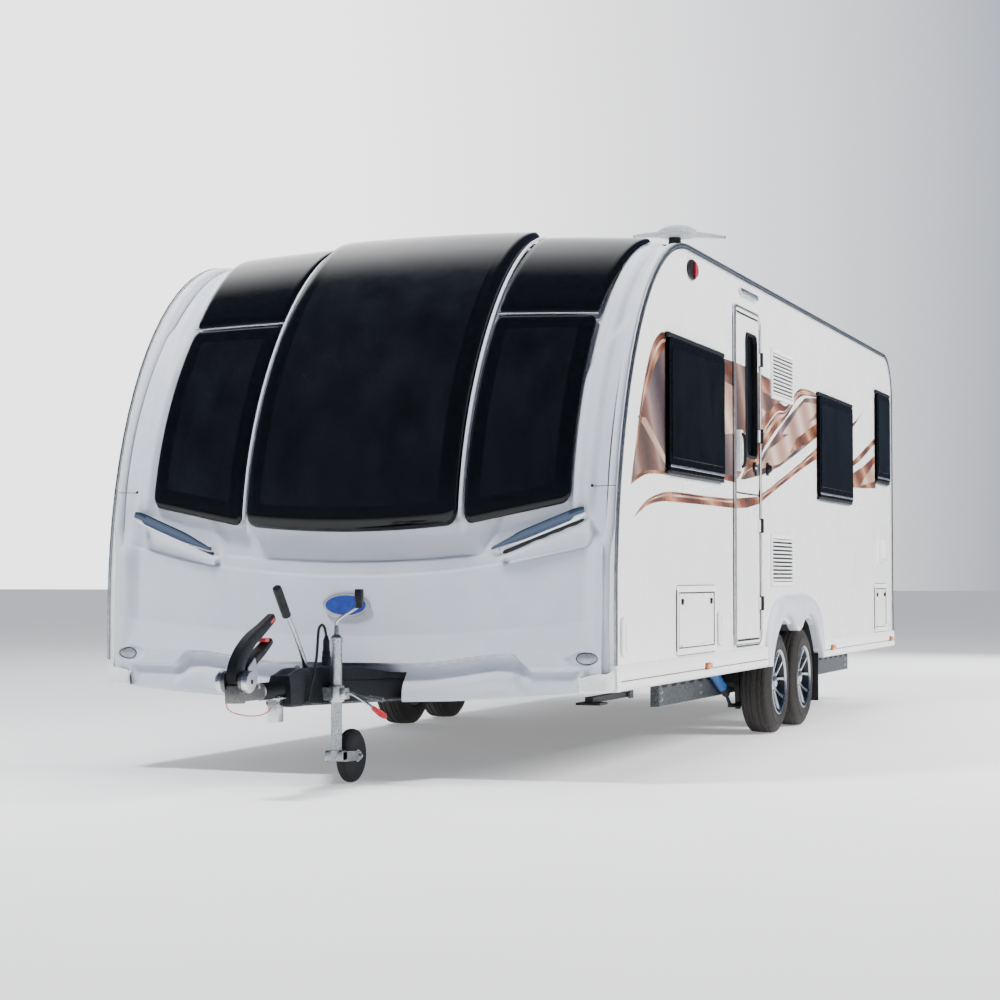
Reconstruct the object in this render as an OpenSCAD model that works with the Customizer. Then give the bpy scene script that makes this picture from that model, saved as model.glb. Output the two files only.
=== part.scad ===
// Twin-axle touring caravan, parked on its jockey wheel.
// +Z is up, the drawbar points along -Y, and the entrance door is on the +X side.
// The ground is z = 0. Every module works in "d", the distance behind the body's front edge.

/* [Body shell] */
// Width across the two side walls
body_w = 2450; // [2200:10:2600]
// Length of the side walls
body_l = 6960; // [6600:10:8400]
// Height of the side walls' top edge
rail_h = 2487; // [2350:5:2650]
// Rise of the roof's middle over that edge
roof_rise = 55; // [20:5:80]
// Thickness of the sandwich walls, the roof and the mouldings
wall_t = 31; // [24:1:40]
// Thickness of the floor panel
floor_t = 43; // [30:1:60]
// Height of the walls' lower edge and the floor's underside
sill_z = 434; // [410:2:470]
// Height of the skirts' lower edge
skirt_z = 391; // [350:1:410]
// Height at which the side walls' front edge starts to curve back
nose_z = 748; // [600:10:900]
// Distance behind the front edge at which the roof line is level
crown_d = 1230; // [1150:10:1400]
// Radius of the side walls' rear top corner
tail_r = 320; // [200:10:400]
// Set-back of the front moulding's face behind the walls' front edge, negative where it stands proud
face_d = -10; // [-30:5:40]
// How far the front moulding's outer ends sweep back from its middle
face_bow = 60; // [0:5:100]
// Height at which the front moulding starts to curve back
brow_z = 1030; // [950:10:1100]

/* [Entrance door] */
// Distance of the door frame's front edge behind the body's front edge
door_d = 2138; // [2050:2:2200]
// Width of the door frame
door_w = 620; // [560:5:630]
// Height of the door frame
door_h = 1790; // [1700:5:1820]
// Height of the door frame's lower edge
door_z = 522; // [510:2:550]
// Height of the joint between the two leaves of the door
door_split_z = 1329; // [1250:2:1380]
// Width of the frame's bars
frame_w = 30; // [20:1:34]
// Clear gap around the moving leaves
leaf_gap = 6; // [5:0.5:9]

/* [Windows] */
// Thickness of the acrylic panes
pane_t = 22; // [14:1:26]
// How far a pane laps over its opening on each side
pane_lap = 22; // [12:1:40]
// Length of the front side window
front_window_l = 1062; // [900:2:1070]
// Length of the middle side window
middle_window_l = 1092; // [900:2:1200]
// Length of the rear side window
rear_window_l = 530; // [400:5:560]
// Height of the front and middle side windows
side_window_h = 632; // [500:2:660]
// Height of the lower edge of the front and middle side windows
side_window_z = 1374; // [1340:2:1420]

/* [Lockers] */
// Length of the front locker's leaf
front_locker_l = 668; // [500:2:700]
// Height of the front locker's leaf
front_locker_h = 256; // [200:2:270]
// Length of the rear locker's leaf
rear_locker_l = 410; // [300:5:440]
// Height of the rear locker's leaf
rear_locker_h = 262; // [200:2:280]

/* [Running gear] */
// Diameter of the road tyres
tyre_d = 582; // [540:2:600]
// Width of the road tyres
tyre_w = 178; // [155:1:195]
// Diameter of the rims at the bead
rim_d = 356; // [340:1:382]
// Distance between the two axles
axle_gap = 676; // [640:2:720]
// Distance of the front axle's hubs behind the body's front edge
axle_d = 3316; // [3250:2:3400]
// Distance of the tyres' outer faces inside the side walls' outer faces
tyre_inset = 20; // [10:1:40]
// Length of the axles' trailing arms
arm_l = 160; // [140:2:190]
// Radius of the stub axles that the wheels turn on
stub_r = 20; // [16:0.5:26]
// Radial running clearance of wheels, fork and sliding tube
run_gap = 0.05; // [0.02:0.01:0.1]

/* [Chassis and hitch] */
// Distance between the outer faces of the two chassis members
rail_gap = 1840; // [1700:10:1860]
// Depth of the chassis members
member_h = 209; // [160:1:215]
// Distance of the coupling's nose ahead of the body's front edge
hitch_l = 1167; // [1050:1:1300]
// Radius of the tow-ball socket
socket_r = 25.3; // [25.1:0.1:26]
// Height of the overrun tube's centreline
hitch_z = 415; // [400:1:430]

/* [Jockey wheel and steadies] */
// Radius of the jockey wheel's outer tube
jockey_r = 24; // [21:0.5:30]
// Sideways distance of the jockey wheel's tube from the centreline
jockey_x = 126; // [122:1:150]
// Distance of the jockey wheel's tube ahead of the body's front edge
jockey_d = 430; // [400:2:460]
// Diameter of the jockey wheel
jockey_wheel_d = 228; // [200:2:240]
// Width of the jockey wheel
jockey_wheel_w = 62; // [50:1:76]
// Distance that the jockey wheel trails behind its tube
jockey_trail = 157; // [150:1:180]
// Length of a corner steady's arm
steady_l = 600; // [480:10:640]

/* [Hidden] */
$fn = 48;

// Places along the body, all measured back from its front edge
half_w = body_w / 2;
member_gap = min(rail_gap, 2 * (half_w - 305));
rear_proud = 26;
front_y = hitch_l - (hitch_l + body_l + rear_proud) / 2;
roof_z = rail_h + roof_rise;
floor_z = sill_z + floor_t;
tail_d = body_l - tail_r;
skirt_top_z = sill_z + 68;
skirt_out = 14;
trim_out = 10;
rail_w = 26;
// The front and rear mouldings
pillar_w = 92;
pillar_deep = 230;
face_half = half_w - pillar_w + 4;
lip_drop = 50;
apron_lean = 40;
centre_pane_x = 500;
side_pane_x0 = 554;
side_pane_x1 = 1008;
upper_pane_x1 = 1075;

// Windows
front_window_d = 826;
middle_window_d = 4278;
rear_window_d = body_l - 160 - rear_window_l;
rear_window_z = 1560;
rear_window_h = 622;

// Lockers
front_locker_d = 1047;
front_locker_z = 550;
rear_locker_d = body_l - 280 - rear_locker_l;
rear_locker_z = 542;
locker_frame = 36;
hinge_out = 8;
hinge_up = 6;
hinge_r = 6;

// Doorway
leaf_d0 = door_d + frame_w + leaf_gap;
leaf_d1 = door_d + door_w - frame_w - leaf_gap;
leaf_z0 = door_z + frame_w + leaf_gap;
leaf_z1 = door_z + door_h - frame_w - leaf_gap;
leaf_t = 36;
door_hinge_out = 18;
door_hinge_r = 9;
door_hinge_h = 77;
door_handle_z = 1440;
door_handle_h = 216;
door_handle_w = 64;
door_window_w = 232;
door_window_h = 650;
door_window_z = 1533;
door_window_d = door_d + 279;

// Running gear
tyre_r = tyre_d / 2;
tyre_x = half_w - tyre_inset - tyre_w / 2;
rear_axle_d = axle_d + axle_gap;
arch_r = tyre_r + 58;
box_top_z = tyre_d + 62;
box_in_x = tyre_x - tyre_w / 2 - 30;
rim_r = rim_d / 2;
rim_w = tyre_w - 22;
arm_x = tyre_x - tyre_w / 2 - 26;
tube_z = tyre_r + 20;
tube_r = 42;
shock_x = member_gap / 2 + 38;
shock_z = 160;
shock_reach = 600;
shock_r = 24;
spat_proud = 30;

// Chassis
pad_r = 42;
pad_z = hitch_z + 52;
ball_d = -hitch_l + pad_r;
member_t = 46;
member_z = sill_z - member_h;
member_d = 1790;
beam_z = 340;
apex_d = -660;
apex_x = 20;
beam_slope = 0.44;
overrun_r = 25;
cover_gap = 8;
cover_z = 352;
cover_top_z = 500;
cover_t = 4;
rod_z = beam_z + 22;
crossbar_d = 480;

// Roof
aerial_x = 1060;
aerial_d = 1540;

// Jockey wheel
clamp_z = 388;
jockey_top_z = 629;
jockey_foot_z = 150;
spigot_r = 13;
jockey_hub_z = jockey_wheel_d / 2;
fork_in = jockey_wheel_w / 2 + 6;
fork_t = 5;

// Routes of the cables
tow_lead_r = 6;
tow_route = [[72, -604, 362], [72, -590, 384], [72, -566, 428], [72, -540, 478], [70, -514, 534], [66, -494, 586],
    [63, -482, 628], [60, -465, 664], [57, -430, 679], [55, -396, 664], [55, -379, 626]];
breakaway_r = 2.5;
breakaway_route = [[-42, -1128, 388], [-44, -1104, 358], [-40, -1064, 340], [-30, -1010, 328], [-14, -950, 320],
    [0, -890, 322], [6, -845, 332], [8, -818, 346]];

// Steadies
steady_x = member_gap / 2 - 110;
steady_front_d = 1560;
steady_rear_d = body_l - 1200;
steady_z = 300;

function bez(a, b, c, e, t) =
    pow(1 - t, 3) * a + 3 * pow(1 - t, 2) * t * b + 3 * (1 - t) * t * t * c + pow(t, 3) * e;

// Outline of a side wall in (d, z), moved inwards by "inset"
function nose_curve(inset, steps) = [for (i = [0:steps])
    bez([inset, nose_z], [inset, nose_z + 946], [crown_d - 705 + inset / 2, rail_h - inset],
        [crown_d, rail_h - inset], i / steps)];
function tail_curve(inset, steps) = [for (i = [0:steps])
    [tail_d, rail_h - tail_r] + (tail_r - inset) * [sin(90 * i / steps), cos(90 * i / steps)]];
function reversed(list) = [for (i = [len(list) - 1:-1:0]) list[i]];
function wall_outline(inset, low) = concat([[inset, low]], nose_curve(inset, 20),
    tail_curve(inset, 10), [[body_l - inset, low]]);

// A point of the front moulding's face. t = 0 is the brow line, t = 1 the roof, below 0 the apron.
function dome(x) = roof_rise * (1 - pow(x / half_w, 2));
function lip_z(x) = skirt_z - lip_drop * (1 - pow(x / face_half, 2));
function face_curve(x, t) = t >= 0
    ? bez([face_d, brow_z], [face_d, brow_z + 740], [crown_d - 520, rail_h + dome(x)],
        [crown_d, rail_h + dome(x)], t)
    : [face_d + apron_lean * t, brow_z + t * (brow_z - lip_z(x))];
function face_normal(x, t) =
    let (step = face_curve(x, min(t + 0.01, 1)) - face_curve(x, min(t, 0.99)))
    [-step[1], step[0]] / norm(step);
function face_point(x, t, out) =
    let (p = face_curve(x, t) + out * face_normal(x, t))
    [x, p[0] + face_bow * pow(x / face_half, 2) * (1 - max(t, 0)), p[1]];

// A point of the rear moulding's face, in the same way, t running from the sill to the roof
function tail_point(x, t, out) =
    let (a = max(0, t - 0.5) * 180, r = tail_r + out, up = dome(x) * max(0, t * 2 - 1))
    t < 0.5 ? [x, body_l + out, skirt_z + (rail_h - tail_r - skirt_z) * t * 2]
        : [x, tail_d + r * cos(a), rail_h - tail_r + r * sin(a) + up];

// A closed skin between two grids of points, each "rows" by "cols"
module skin(outer, inner, rows, cols) {
    count = rows * cols;
    at = function (i, j) i * cols + j;
    polyhedron(concat(outer, inner), concat(
        [for (i = [0:rows - 2], j = [0:cols - 2], k = [0, 1]) k == 0
            ? [at(i, j), at(i + 1, j), at(i + 1, j + 1)] : [at(i, j), at(i + 1, j + 1), at(i, j + 1)]],
        [for (i = [0:rows - 2], j = [0:cols - 2], k = [0, 1]) k == 0
            ? [count + at(i, j), count + at(i + 1, j + 1), count + at(i + 1, j)]
            : [count + at(i, j), count + at(i, j + 1), count + at(i + 1, j + 1)]],
        [for (j = [0:cols - 2], k = [0, 1]) k == 0
            ? [at(0, j), at(0, j + 1), count + at(0, j + 1)] : [at(0, j), count + at(0, j + 1), count + at(0, j)]],
        [for (j = [0:cols - 2], k = [0, 1]) k == 0
            ? [at(rows - 1, j + 1), at(rows - 1, j), count + at(rows - 1, j)]
            : [at(rows - 1, j + 1), count + at(rows - 1, j), count + at(rows - 1, j + 1)]],
        [for (i = [0:rows - 2], k = [0, 1]) k == 0
            ? [at(i + 1, 0), at(i, 0), count + at(i, 0)] : [at(i + 1, 0), count + at(i, 0), count + at(i + 1, 0)]],
        [for (i = [0:rows - 2], k = [0, 1]) k == 0
            ? [at(i, cols - 1), at(i + 1, cols - 1), count + at(i + 1, cols - 1)]
            : [at(i, cols - 1), count + at(i + 1, cols - 1), count + at(i, cols - 1)]]));
}

// A patch of the front moulding from x0 to x1, whose ends follow the heights a and b
module face_patch(x0, x1, a, b, out, deep, rows, cols) {
    grid = function (off) [for (i = [0:rows - 1], j = [0:cols - 1])
        let (u = j / (cols - 1), v = i / (rows - 1), lo = a[0] + (a[1] - a[0]) * u,
            hi = b[0] + (b[1] - b[0]) * u, x = x0 + (x1 - x0) * u)
        face_point(x, lo + (hi - lo) * v, off)];
    skin(grid(out), grid(out - deep), rows, cols);
}

module from_front() translate([0, front_y, 0]) children();
module both_sides() for (side = [0, 1]) mirror([side, 0, 0]) children();

// Extrudes a (d, z) outline along x, from x0 to x1
module across(x0, x1) translate([x0, 0, 0]) rotate([90, 0, 90]) linear_extrude(x1 - x0) children();

module rounded(w, h, r) {
    translate([r, 0]) square([w - 2 * r, h]);
    translate([0, r]) square([w, h - 2 * r]);
    for (x = [r, w - r], y = [r, h - r]) translate([x, y]) circle(r);
}

module block(low, high) translate(low) cube(high - low);

// ---- shell ----

module wheel_cut() {
    for (d = [axle_d, rear_axle_d]) translate([d, tyre_r]) circle(arch_r);
    translate([axle_d, 0]) square([axle_gap, box_top_z - 30]);
}

module locker_cut(d, z, l, h) translate([d - leaf_gap, z - leaf_gap])
    square([l + 2 * leaf_gap, h + 2 * leaf_gap]);

module window_cut(d, z, l, h) translate([d + pane_lap, z + pane_lap])
    rounded(l - 2 * pane_lap, h - 2 * pane_lap, 50);

module side_wall_outline() difference() {
    polygon(wall_outline(trim_out, sill_z));
    wheel_cut();
    window_cut(front_window_d, side_window_z, front_window_l, side_window_h);
    window_cut(middle_window_d, side_window_z, middle_window_l, side_window_h);
    window_cut(rear_window_d, rear_window_z, rear_window_l, rear_window_h);
}

module nearside_wall() color("white") from_front() across(half_w - wall_t, half_w) difference() {
    side_wall_outline();
    translate([door_d, door_z]) square([door_w, door_h]);
    locker_cut(front_locker_d, front_locker_z, front_locker_l, front_locker_h);
    locker_cut(rear_locker_d, rear_locker_z, rear_locker_l, rear_locker_h);
}

module offside_wall() color("white") from_front() across(-half_w, wall_t - half_w) side_wall_outline();

module roof_panel() color("white") from_front() {
    half = half_w - wall_t - 1;
    steps = 24;
    arc = [for (i = [0:steps]) let (x = -half + 2 * half * i / steps) [x, rail_h + dome(x) - 2]];
    under = [for (i = [steps:-1:0]) arc[i] - [0, wall_t]];
    translate([0, tail_d, 0]) rotate([90, 0, 0]) linear_extrude(tail_d - crown_d - 2)
        polygon(concat(arc, under));
}

module rear_panel() color("white") from_front() {
    half = half_w - wall_t - 1;
    rows = 14;
    cols = 9;
    grid = function (off) [for (i = [0:rows - 1], j = [0:cols - 1])
        tail_point(half - 2 * half * j / (cols - 1), i / (rows - 1), off)];
    skin(grid(0), grid(-wall_t), rows, cols);
}

module pillar() across(half_w - pillar_w, half_w - wall_t - 1)
    polygon(concat([[0, skirt_z]], nose_curve(0, 20), reversed(nose_curve(pillar_deep, 20)),
        [[pillar_deep, skirt_z]]));

module front_panel() color("white") from_front() difference() {
    union() {
        face_patch(-face_half, face_half, [-1, -1], [1, 1], 0, wall_t, 26, 13);
        both_sides() pillar();
    }
    face_patch(36 - centre_pane_x, centre_pane_x - 36, [0.08, 0.08], [0.92, 0.92], 20, 80, 14, 5);
    both_sides() face_patch(side_pane_x0 + 32, side_pane_x1 - 32, [0.085, 0.12], [0.48, 0.48], 20, 80, 9, 4);
    block([-340, face_d - 60, 200], [340, 200, cover_top_z + 4]);
}

module front_windows() color([0.06, 0.07, 0.08]) from_front() {
    face_patch(-centre_pane_x, centre_pane_x, [0.045, 0.045], [0.965, 0.965], pane_t + 8, pane_t, 20, 9);
    both_sides() face_patch(side_pane_x0, side_pane_x1, [0.043, 0.096], [0.51, 0.51], pane_t + 1, pane_t, 12, 5);
}

module front_roof_panels() color([0.05, 0.06, 0.07]) from_front() both_sides()
    face_patch(side_pane_x0, upper_pane_x1, [0.524, 0.524], [0.95, 0.93], pane_t - 2, pane_t - 3, 12, 5);

module pane(d, z, l, h) across(half_w + 1, half_w + pane_t) translate([d, z]) rounded(l, h, 45);

module side_windows() color([0.06, 0.07, 0.08]) from_front() both_sides() {
    pane(front_window_d, side_window_z, front_window_l, side_window_h);
    pane(middle_window_d, side_window_z, middle_window_l, side_window_h);
    pane(rear_window_d, rear_window_z, rear_window_l, rear_window_h);
}

module floor_panel() color("dimgray") from_front() {
    inner = half_w - wall_t - 1;
    box_d0 = axle_d - arch_r - 12;
    box_d1 = rear_axle_d + arch_r + 12;
    difference() {
        block([-inner, pillar_deep + 20, sill_z], [inner, body_l - wall_t - 1, floor_z]);
        both_sides() block([box_in_x, box_d0, sill_z - 1], [half_w, box_d1, floor_z + 1]);
    }
    both_sides() difference() {
        block([box_in_x - 4, box_d0 - 4, floor_z - 10], [inner, box_d1 + 4, box_top_z + 5]);
        block([box_in_x, box_d0, floor_z - 20], [half_w, box_d1, box_top_z]);
    }
}

module awning_rails() color("silver") from_front() both_sides()
    across(half_w + 1, half_w + trim_out) difference() {
        polygon(wall_outline(0, skirt_top_z + 1));
        polygon(wall_outline(rail_w, skirt_top_z));
    }

module side_skirts() color("whitesmoke") from_front() {
    block([-half_w + 6, body_l + 1, skirt_z], [half_w - 6, body_l + 22, skirt_top_z]);
    both_sides() side_skirt();
}

module side_skirt() {
    translate([0, 0, skirt_z]) linear_extrude(sill_z + 26 - skirt_z) polygon([[1074, -46], [1074, -6],
        [half_w - pillar_w - 4, -2], [half_w - 1, -2], [half_w - 1, -16], [half_w - 40, -40]]);
    across(half_w + 1, half_w + skirt_out) difference() {
        translate([0, skirt_z]) square([body_l - 2, skirt_top_z - skirt_z]);
        translate([axle_d - arch_r - 84, 0]) square([axle_gap + 2 * arch_r + 138, tyre_d]);
    }
    across(half_w - wall_t, half_w + 1.5) difference() {
        translate([0, skirt_z]) square([body_l - 2, sill_z - skirt_z - 1]);
        translate([axle_d - arch_r - 84, 0]) square([axle_gap + 2 * arch_r + 138, tyre_d]);
    }
}

module wheel_spats() color("white") from_front() both_sides()
    across(half_w + 1, half_w + spat_proud) difference() {
        polygon(concat(
            [[axle_d - arch_r - 80, skirt_z + 20], [axle_d - arch_r - 80, skirt_z + 130]],
            [for (i = [0:6]) let (a = 60 * (1 - i / 6) + 90)
                [axle_d - 60, tyre_r + 130] + (arch_r - 8) * [cos(a), sin(a) * 0.98]],
            [for (i = [0:6]) let (a = 90 - 60 * i / 6)
                [rear_axle_d + 60, tyre_r + 130] + (arch_r - 8) * [cos(a), sin(a) * 0.98]],
            [[rear_axle_d + arch_r + 50, skirt_z + 130], [rear_axle_d + arch_r + 50, skirt_z + 20]]));
        wheel_cut();
    }

// ---- openings in the walls ----

module door_frame() color("gainsboro") from_front() across(half_w - wall_t - 4, half_w + 6) difference() {
    translate([door_d + 0.5, door_z + 0.5]) square([door_w - 1, door_h - 1]);
    translate([door_d + frame_w, door_z + frame_w])
        rounded(door_w - 2 * frame_w, door_h - 2 * frame_w, 60);
}

module leaf(z0, z1) across(half_w - wall_t - 2, half_w - wall_t - 2 + leaf_t)
    translate([leaf_d0, z0]) rounded(leaf_d1 - leaf_d0, z1 - z0, 50);

// The leaf's half of a hinge, its barrel on the axis that both leaves turn about
module door_hinge(z) {
    translate([half_w + door_hinge_out, leaf_d1 - 2, z]) cylinder(r = door_hinge_r, h = door_hinge_h);
    block([half_w, leaf_d1 - 44, z + 6], [half_w + door_hinge_out - 4, leaf_d1 - 6, z + door_hinge_h - 6]);
}

module door_upper() color("white") from_front() {
    difference() {
        leaf(door_split_z + 5, leaf_z1);
        across(half_w - 90, half_w + 50) translate([door_window_d, door_window_z])
            rounded(door_window_w, door_window_h, 40);
    }
    door_hinge(door_split_z + 284);
    door_hinge(leaf_z1 - 245);
    across(half_w, half_w + 27) translate([leaf_d0 + 22, door_handle_z])
        rounded(door_handle_w, door_handle_h, 20);
}

module door_window() color([0.06, 0.07, 0.08]) from_front()
    across(half_w - wall_t + 10, half_w - wall_t + 22)
        translate([door_window_d + 0.3, door_window_z + 0.3]) rounded(door_window_w - 0.6, door_window_h - 0.6, 39.7);

module door_lower() color("white") from_front() {
    leaf(leaf_z0, door_split_z - 5);
    door_hinge(leaf_z0 + 146);
    door_hinge(door_split_z - 204);
}

// A locker leaf, hung by the barrel along its lower edge, with a lock near each top corner
module locker_door(d, z, l, h) {
    across(half_w - wall_t + 4, half_w + 3) translate([d, z]) square([l, h]);
    translate([half_w + hinge_out, d + 40, z + hinge_up]) rotate([-90, 0, 0]) cylinder(r = hinge_r, h = l - 80);
    for (at = [d + 60, d + l - 60])
        translate([half_w, at, z + h - 40]) rotate([0, 90, 0]) cylinder(r = 11, h = 9);
}

module front_locker_door() color("white") from_front()
    locker_door(front_locker_d, front_locker_z, front_locker_l, front_locker_h);

module rear_locker_door() color("white") from_front()
    locker_door(rear_locker_d, rear_locker_z, rear_locker_l, rear_locker_h);

module vent(d, z, l, h) {
    slats = 11;
    pitch = (h - 40) / slats;
    difference() {
        across(half_w + 1, half_w + 10) translate([d, z]) square([l, h]);
        across(half_w + 4, half_w + 20) translate([d + 20, z + 20]) square([l - 40, h - 40]);
    }
    for (i = [0:slats - 1]) across(half_w + 3, half_w + 8)
        translate([d + 15, z + 20 + pitch * (i + 0.25)]) square([l - 30, pitch / 2]);
}

module locker_surround(d, z, l, h) across(half_w + 1, half_w + 6) difference() {
    translate([d - locker_frame, z - locker_frame]) square([l + 2 * locker_frame, h + 2 * locker_frame]);
    locker_cut(d, z, l, h);
}

module wall_vents() color("whitesmoke") from_front() {
    vent(3027, 1891, 557, 276);
    vent(3002, 838, 558, 284);
    locker_surround(front_locker_d, front_locker_z, front_locker_l, front_locker_h);
    locker_surround(rear_locker_d, rear_locker_z, rear_locker_l, rear_locker_h);
    across(half_w + 1, half_w + 14) translate([6440, 992]) rounded(176, 158, 20);
    mirror([1, 0, 0]) vent(1500, 816, 400, 230);
    mirror([1, 0, 0]) across(half_w + 1, half_w + 12) translate([5800, 700]) rounded(400, 330, 20);
}

// ---- chassis ----

// A chassis member, with the holes that the axle tubes pass through
module member(x) difference() {
    block([x, member_d, member_z], [x + member_t, body_l - 120, sill_z]);
    for (d = [axle_d, rear_axle_d])
        translate([x - 1, d - arm_l, tube_z]) rotate([0, 90, 0]) cylinder(r = tube_r + 4, h = member_t + 2);
}

// Distance of the drawbar's outer face from the centreline
function beam_x(d) = 84 + beam_slope * (d + jockey_d);

module chassis_frame() color("silver") from_front() {
    both_sides() {
        member(member_gap / 2 - member_t);
        for (d = [steady_front_d, steady_rear_d]) steady_bracket(d);
    }
    for (d = [member_d + 20, 2600, body_l - 260])
        block([2 - member_gap / 2, d, sill_z - 90], [member_gap / 2 - 2, d + 44, sill_z - 6]);
}

module steady_bracket(d) {
    for (x = [-34, 26])
        block([steady_x + x, d - 34, steady_z - 20], [steady_x + x + 8, d + 34, sill_z - 2]);
    block([steady_x - 34, d - 20, sill_z - 40],
        [member_gap / 2 - member_t + (d > member_d ? 3 : -1), d + 20, sill_z - 8]);
    block([steady_x - 34, d - 20, sill_z - 12],
        [steady_x + 34, max(d + 20, member_d + 30), sill_z - 2]);
}

module splayed_beam() {
    out = member_gap / 2;
    bend_d = (out - 84) / beam_slope - jockey_d;
    turn_d = (apex_x - 84) / beam_slope - jockey_d;
    translate([0, 0, beam_z]) linear_extrude(sill_z - beam_z) polygon([
        [apex_x - 50, apex_d], [apex_x, apex_d], [apex_x, turn_d], [out, bend_d], [out, member_d - 1],
        [out - member_t, member_d - 1], [out - member_t, bend_d + 40], [apex_x - 50, turn_d]]);
}

module drawbar() color("silver") from_front() {
    both_sides() splayed_beam();
    block([-48, apex_d, beam_z + 2], [48, apex_d + 250, sill_z - 2]);
    half = beam_x(crossbar_d) - 20;
    block([-half, crossbar_d, sill_z - 80], [half, crossbar_d + 40, sill_z - 6]);
    translate([0, apex_d + 240, rod_z]) rotate([-90, 0, 0]) cylinder(r = 6, h = member_d - apex_d - 241);
    jockey_clamp();
}

module jockey_clamp() translate([jockey_x, -jockey_d, 0]) difference() {
    union() {
        translate([0, 0, clamp_z - 30]) cylinder(r = jockey_r + 8, h = 60);
        block([-jockey_x + 70, -34, clamp_z - 26], [-10, 34, clamp_z + 26]);
        block([10, -16, clamp_z - 20], [jockey_r + 22, 16, clamp_z + 20]);
        translate([jockey_r + 18, 0, clamp_z]) rotate([0, 98, 0]) cylinder(r = 6, h = 150);
        translate([jockey_r + 129, 0, clamp_z - 15.6]) rotate([0, 98, 0]) cylinder(r = 11, h = 62);
    }
    translate([0, 0, clamp_z - 40]) cylinder(r = jockey_r + run_gap, h = 80);
}

module rod(a, b, r) translate(a) rotate([0, acos((b - a)[2] / norm(b - a)), atan2((b - a)[1], (b - a)[0])])
    cylinder(r = r, h = norm(b - a));

module axle_set(d) {
    translate([-arm_x, d - arm_l, tube_z]) rotate([0, 90, 0]) cylinder(r = tube_r, h = 2 * arm_x, $fn = 6);
    both_sides() {
        block([member_gap / 2 + 1, d - arm_l - 70, tube_z - 20],
            [member_gap / 2 + 9, d - arm_l + 70, sill_z - 20]);
        across(arm_x - 14, arm_x + 14) polygon([
            [d - arm_l - 40, tube_z - 36], [d - arm_l - 40, tube_z + 36], [d - arm_l + 30, tube_z + 36],
            [d + 34, tyre_r + 34], [d + 40, tyre_r - 30], [d - 40, tyre_r - 60],
            [d - arm_l - 10, shock_z - 20], [d - arm_l - 32, shock_z - 4], [d - arm_l - 20, shock_z + 20]]);
        translate([arm_x, d, tyre_r]) rotate([0, 90, 0]) cylinder(r = stub_r, h = tyre_x - arm_x + 40);
        rod([shock_x, d - shock_reach, sill_z - 60], [shock_x, d - arm_l - 120, tube_z - 76], shock_r);
        rod([shock_x, d - arm_l - 130, tube_z - 70], [shock_x, d - arm_l - 16, shock_z], 10);
        translate([shock_x - 12, d - arm_l - 16, shock_z]) rotate([0, 90, 0])
            cylinder(r = 12, h = arm_x - shock_x + 8);
        translate([member_gap / 2 + 1, d - shock_reach, sill_z - 60]) rotate([0, 90, 0])
            cylinder(r = 12, h = shock_x - member_gap / 2 + 20);
    }
}

module axles() color("gray") from_front() {
    axle_set(axle_d);
    axle_set(rear_axle_d);
}

// ---- wheels ----

module tyre(x, d) color([0.1, 0.1, 0.1]) from_front() translate([x, d, tyre_r]) rotate([0, 90, 0])
    rotate_extrude($fn = 96) polygon([
    [rim_r, -rim_w / 2 + 2], [rim_r + 18, -rim_w / 2 - 4], [tyre_r - 62, -tyre_w / 2], [tyre_r - 22, -tyre_w / 2 + 6],
    [tyre_r - 6, -tyre_w / 2 + 20], [tyre_r, -tyre_w / 2 + 42], [tyre_r, tyre_w / 2 - 42],
    [tyre_r - 6, tyre_w / 2 - 20], [tyre_r - 22, tyre_w / 2 - 6], [tyre_r - 62, tyre_w / 2],
    [rim_r + 18, rim_w / 2 + 4], [rim_r, rim_w / 2 - 2]]);

module rim(x, d) color("silver") from_front() translate([x, d, tyre_r]) rotate([0, x > 0 ? 90 : -90, 0]) {
    spokes = 5;
    rotate_extrude($fn = 96) polygon([
        [rim_r - 10, -rim_w / 2], [rim_r, -rim_w / 2], [rim_r, rim_w / 2],
        [rim_r - 14, rim_w / 2], [rim_r - 22, rim_w / 2 - 14], [rim_r - 14, rim_w / 2 - 30]]);
    difference() {
        union() {
            translate([0, 0, 6]) cylinder(r = 66, h = 44);
            for (i = [0:spokes - 1], s = [-1, 1]) rotate([0, 0, 360 * i / spokes + s * 13])
                translate([50, -13, 24]) cube([rim_r - 62, 26, 26]);
            translate([0, 0, -40]) cylinder(r = 110, h = 50);
        }
        translate([0, 0, -60]) cylinder(r = stub_r + run_gap, h = 104);
    }
}

// ---- hitch ----

module coupling_head() color("silver") from_front() {
    difference() {
        union() {
            translate([0, ball_d, hitch_z - 32]) cylinder(r = 38, h = 74);
            translate([0, ball_d + 20, hitch_z]) cylinder(r = 24, h = 57);
            block([-34, ball_d, hitch_z - 26], [34, ball_d + 190, hitch_z + 36]);
            for (s = [-1, 1]) translate([s * 29, ball_d, pad_z]) rotate([0, s * 90, 0]) cylinder(r = pad_r, h = 44);
        }
        translate([0, ball_d, hitch_z - 50]) cylinder(r = socket_r, h = 60);
    }
    translate([0, ball_d + 180, hitch_z]) rotate([-90, 0, 0])
        cylinder(r = overrun_r, h = apex_d - ball_d - 181);
    block([-25, apex_d - 130, 284], [25, apex_d - 78, hitch_z - 20]);
}

// The pad lever stands up and back from the coupling
module stabiliser_handle() color([0.1, 0.1, 0.1]) from_front() translate([0, ball_d, hitch_z])
    across(-27, 27) polygon([[-37, 58], [-10, 110], [41, 148], [120, 205], [202, 234], [290, 262], [339, 298],
        [346, 280], [300, 225], [262, 150], [241, 90], [70, 58]]);

module handbrake_lever() color([0.15, 0.15, 0.15]) from_front() {
    foot = [0, -434, sill_z + 10];
    knee = [0, -564, 617];
    grip = [0, -661, 724];
    rod(foot, knee, 11);
    rod(knee, grip, 11);
    translate(knee) sphere(12.5);
    rod(grip + [0, 4, -5], [0, -755, 840], 17);
}

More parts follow.
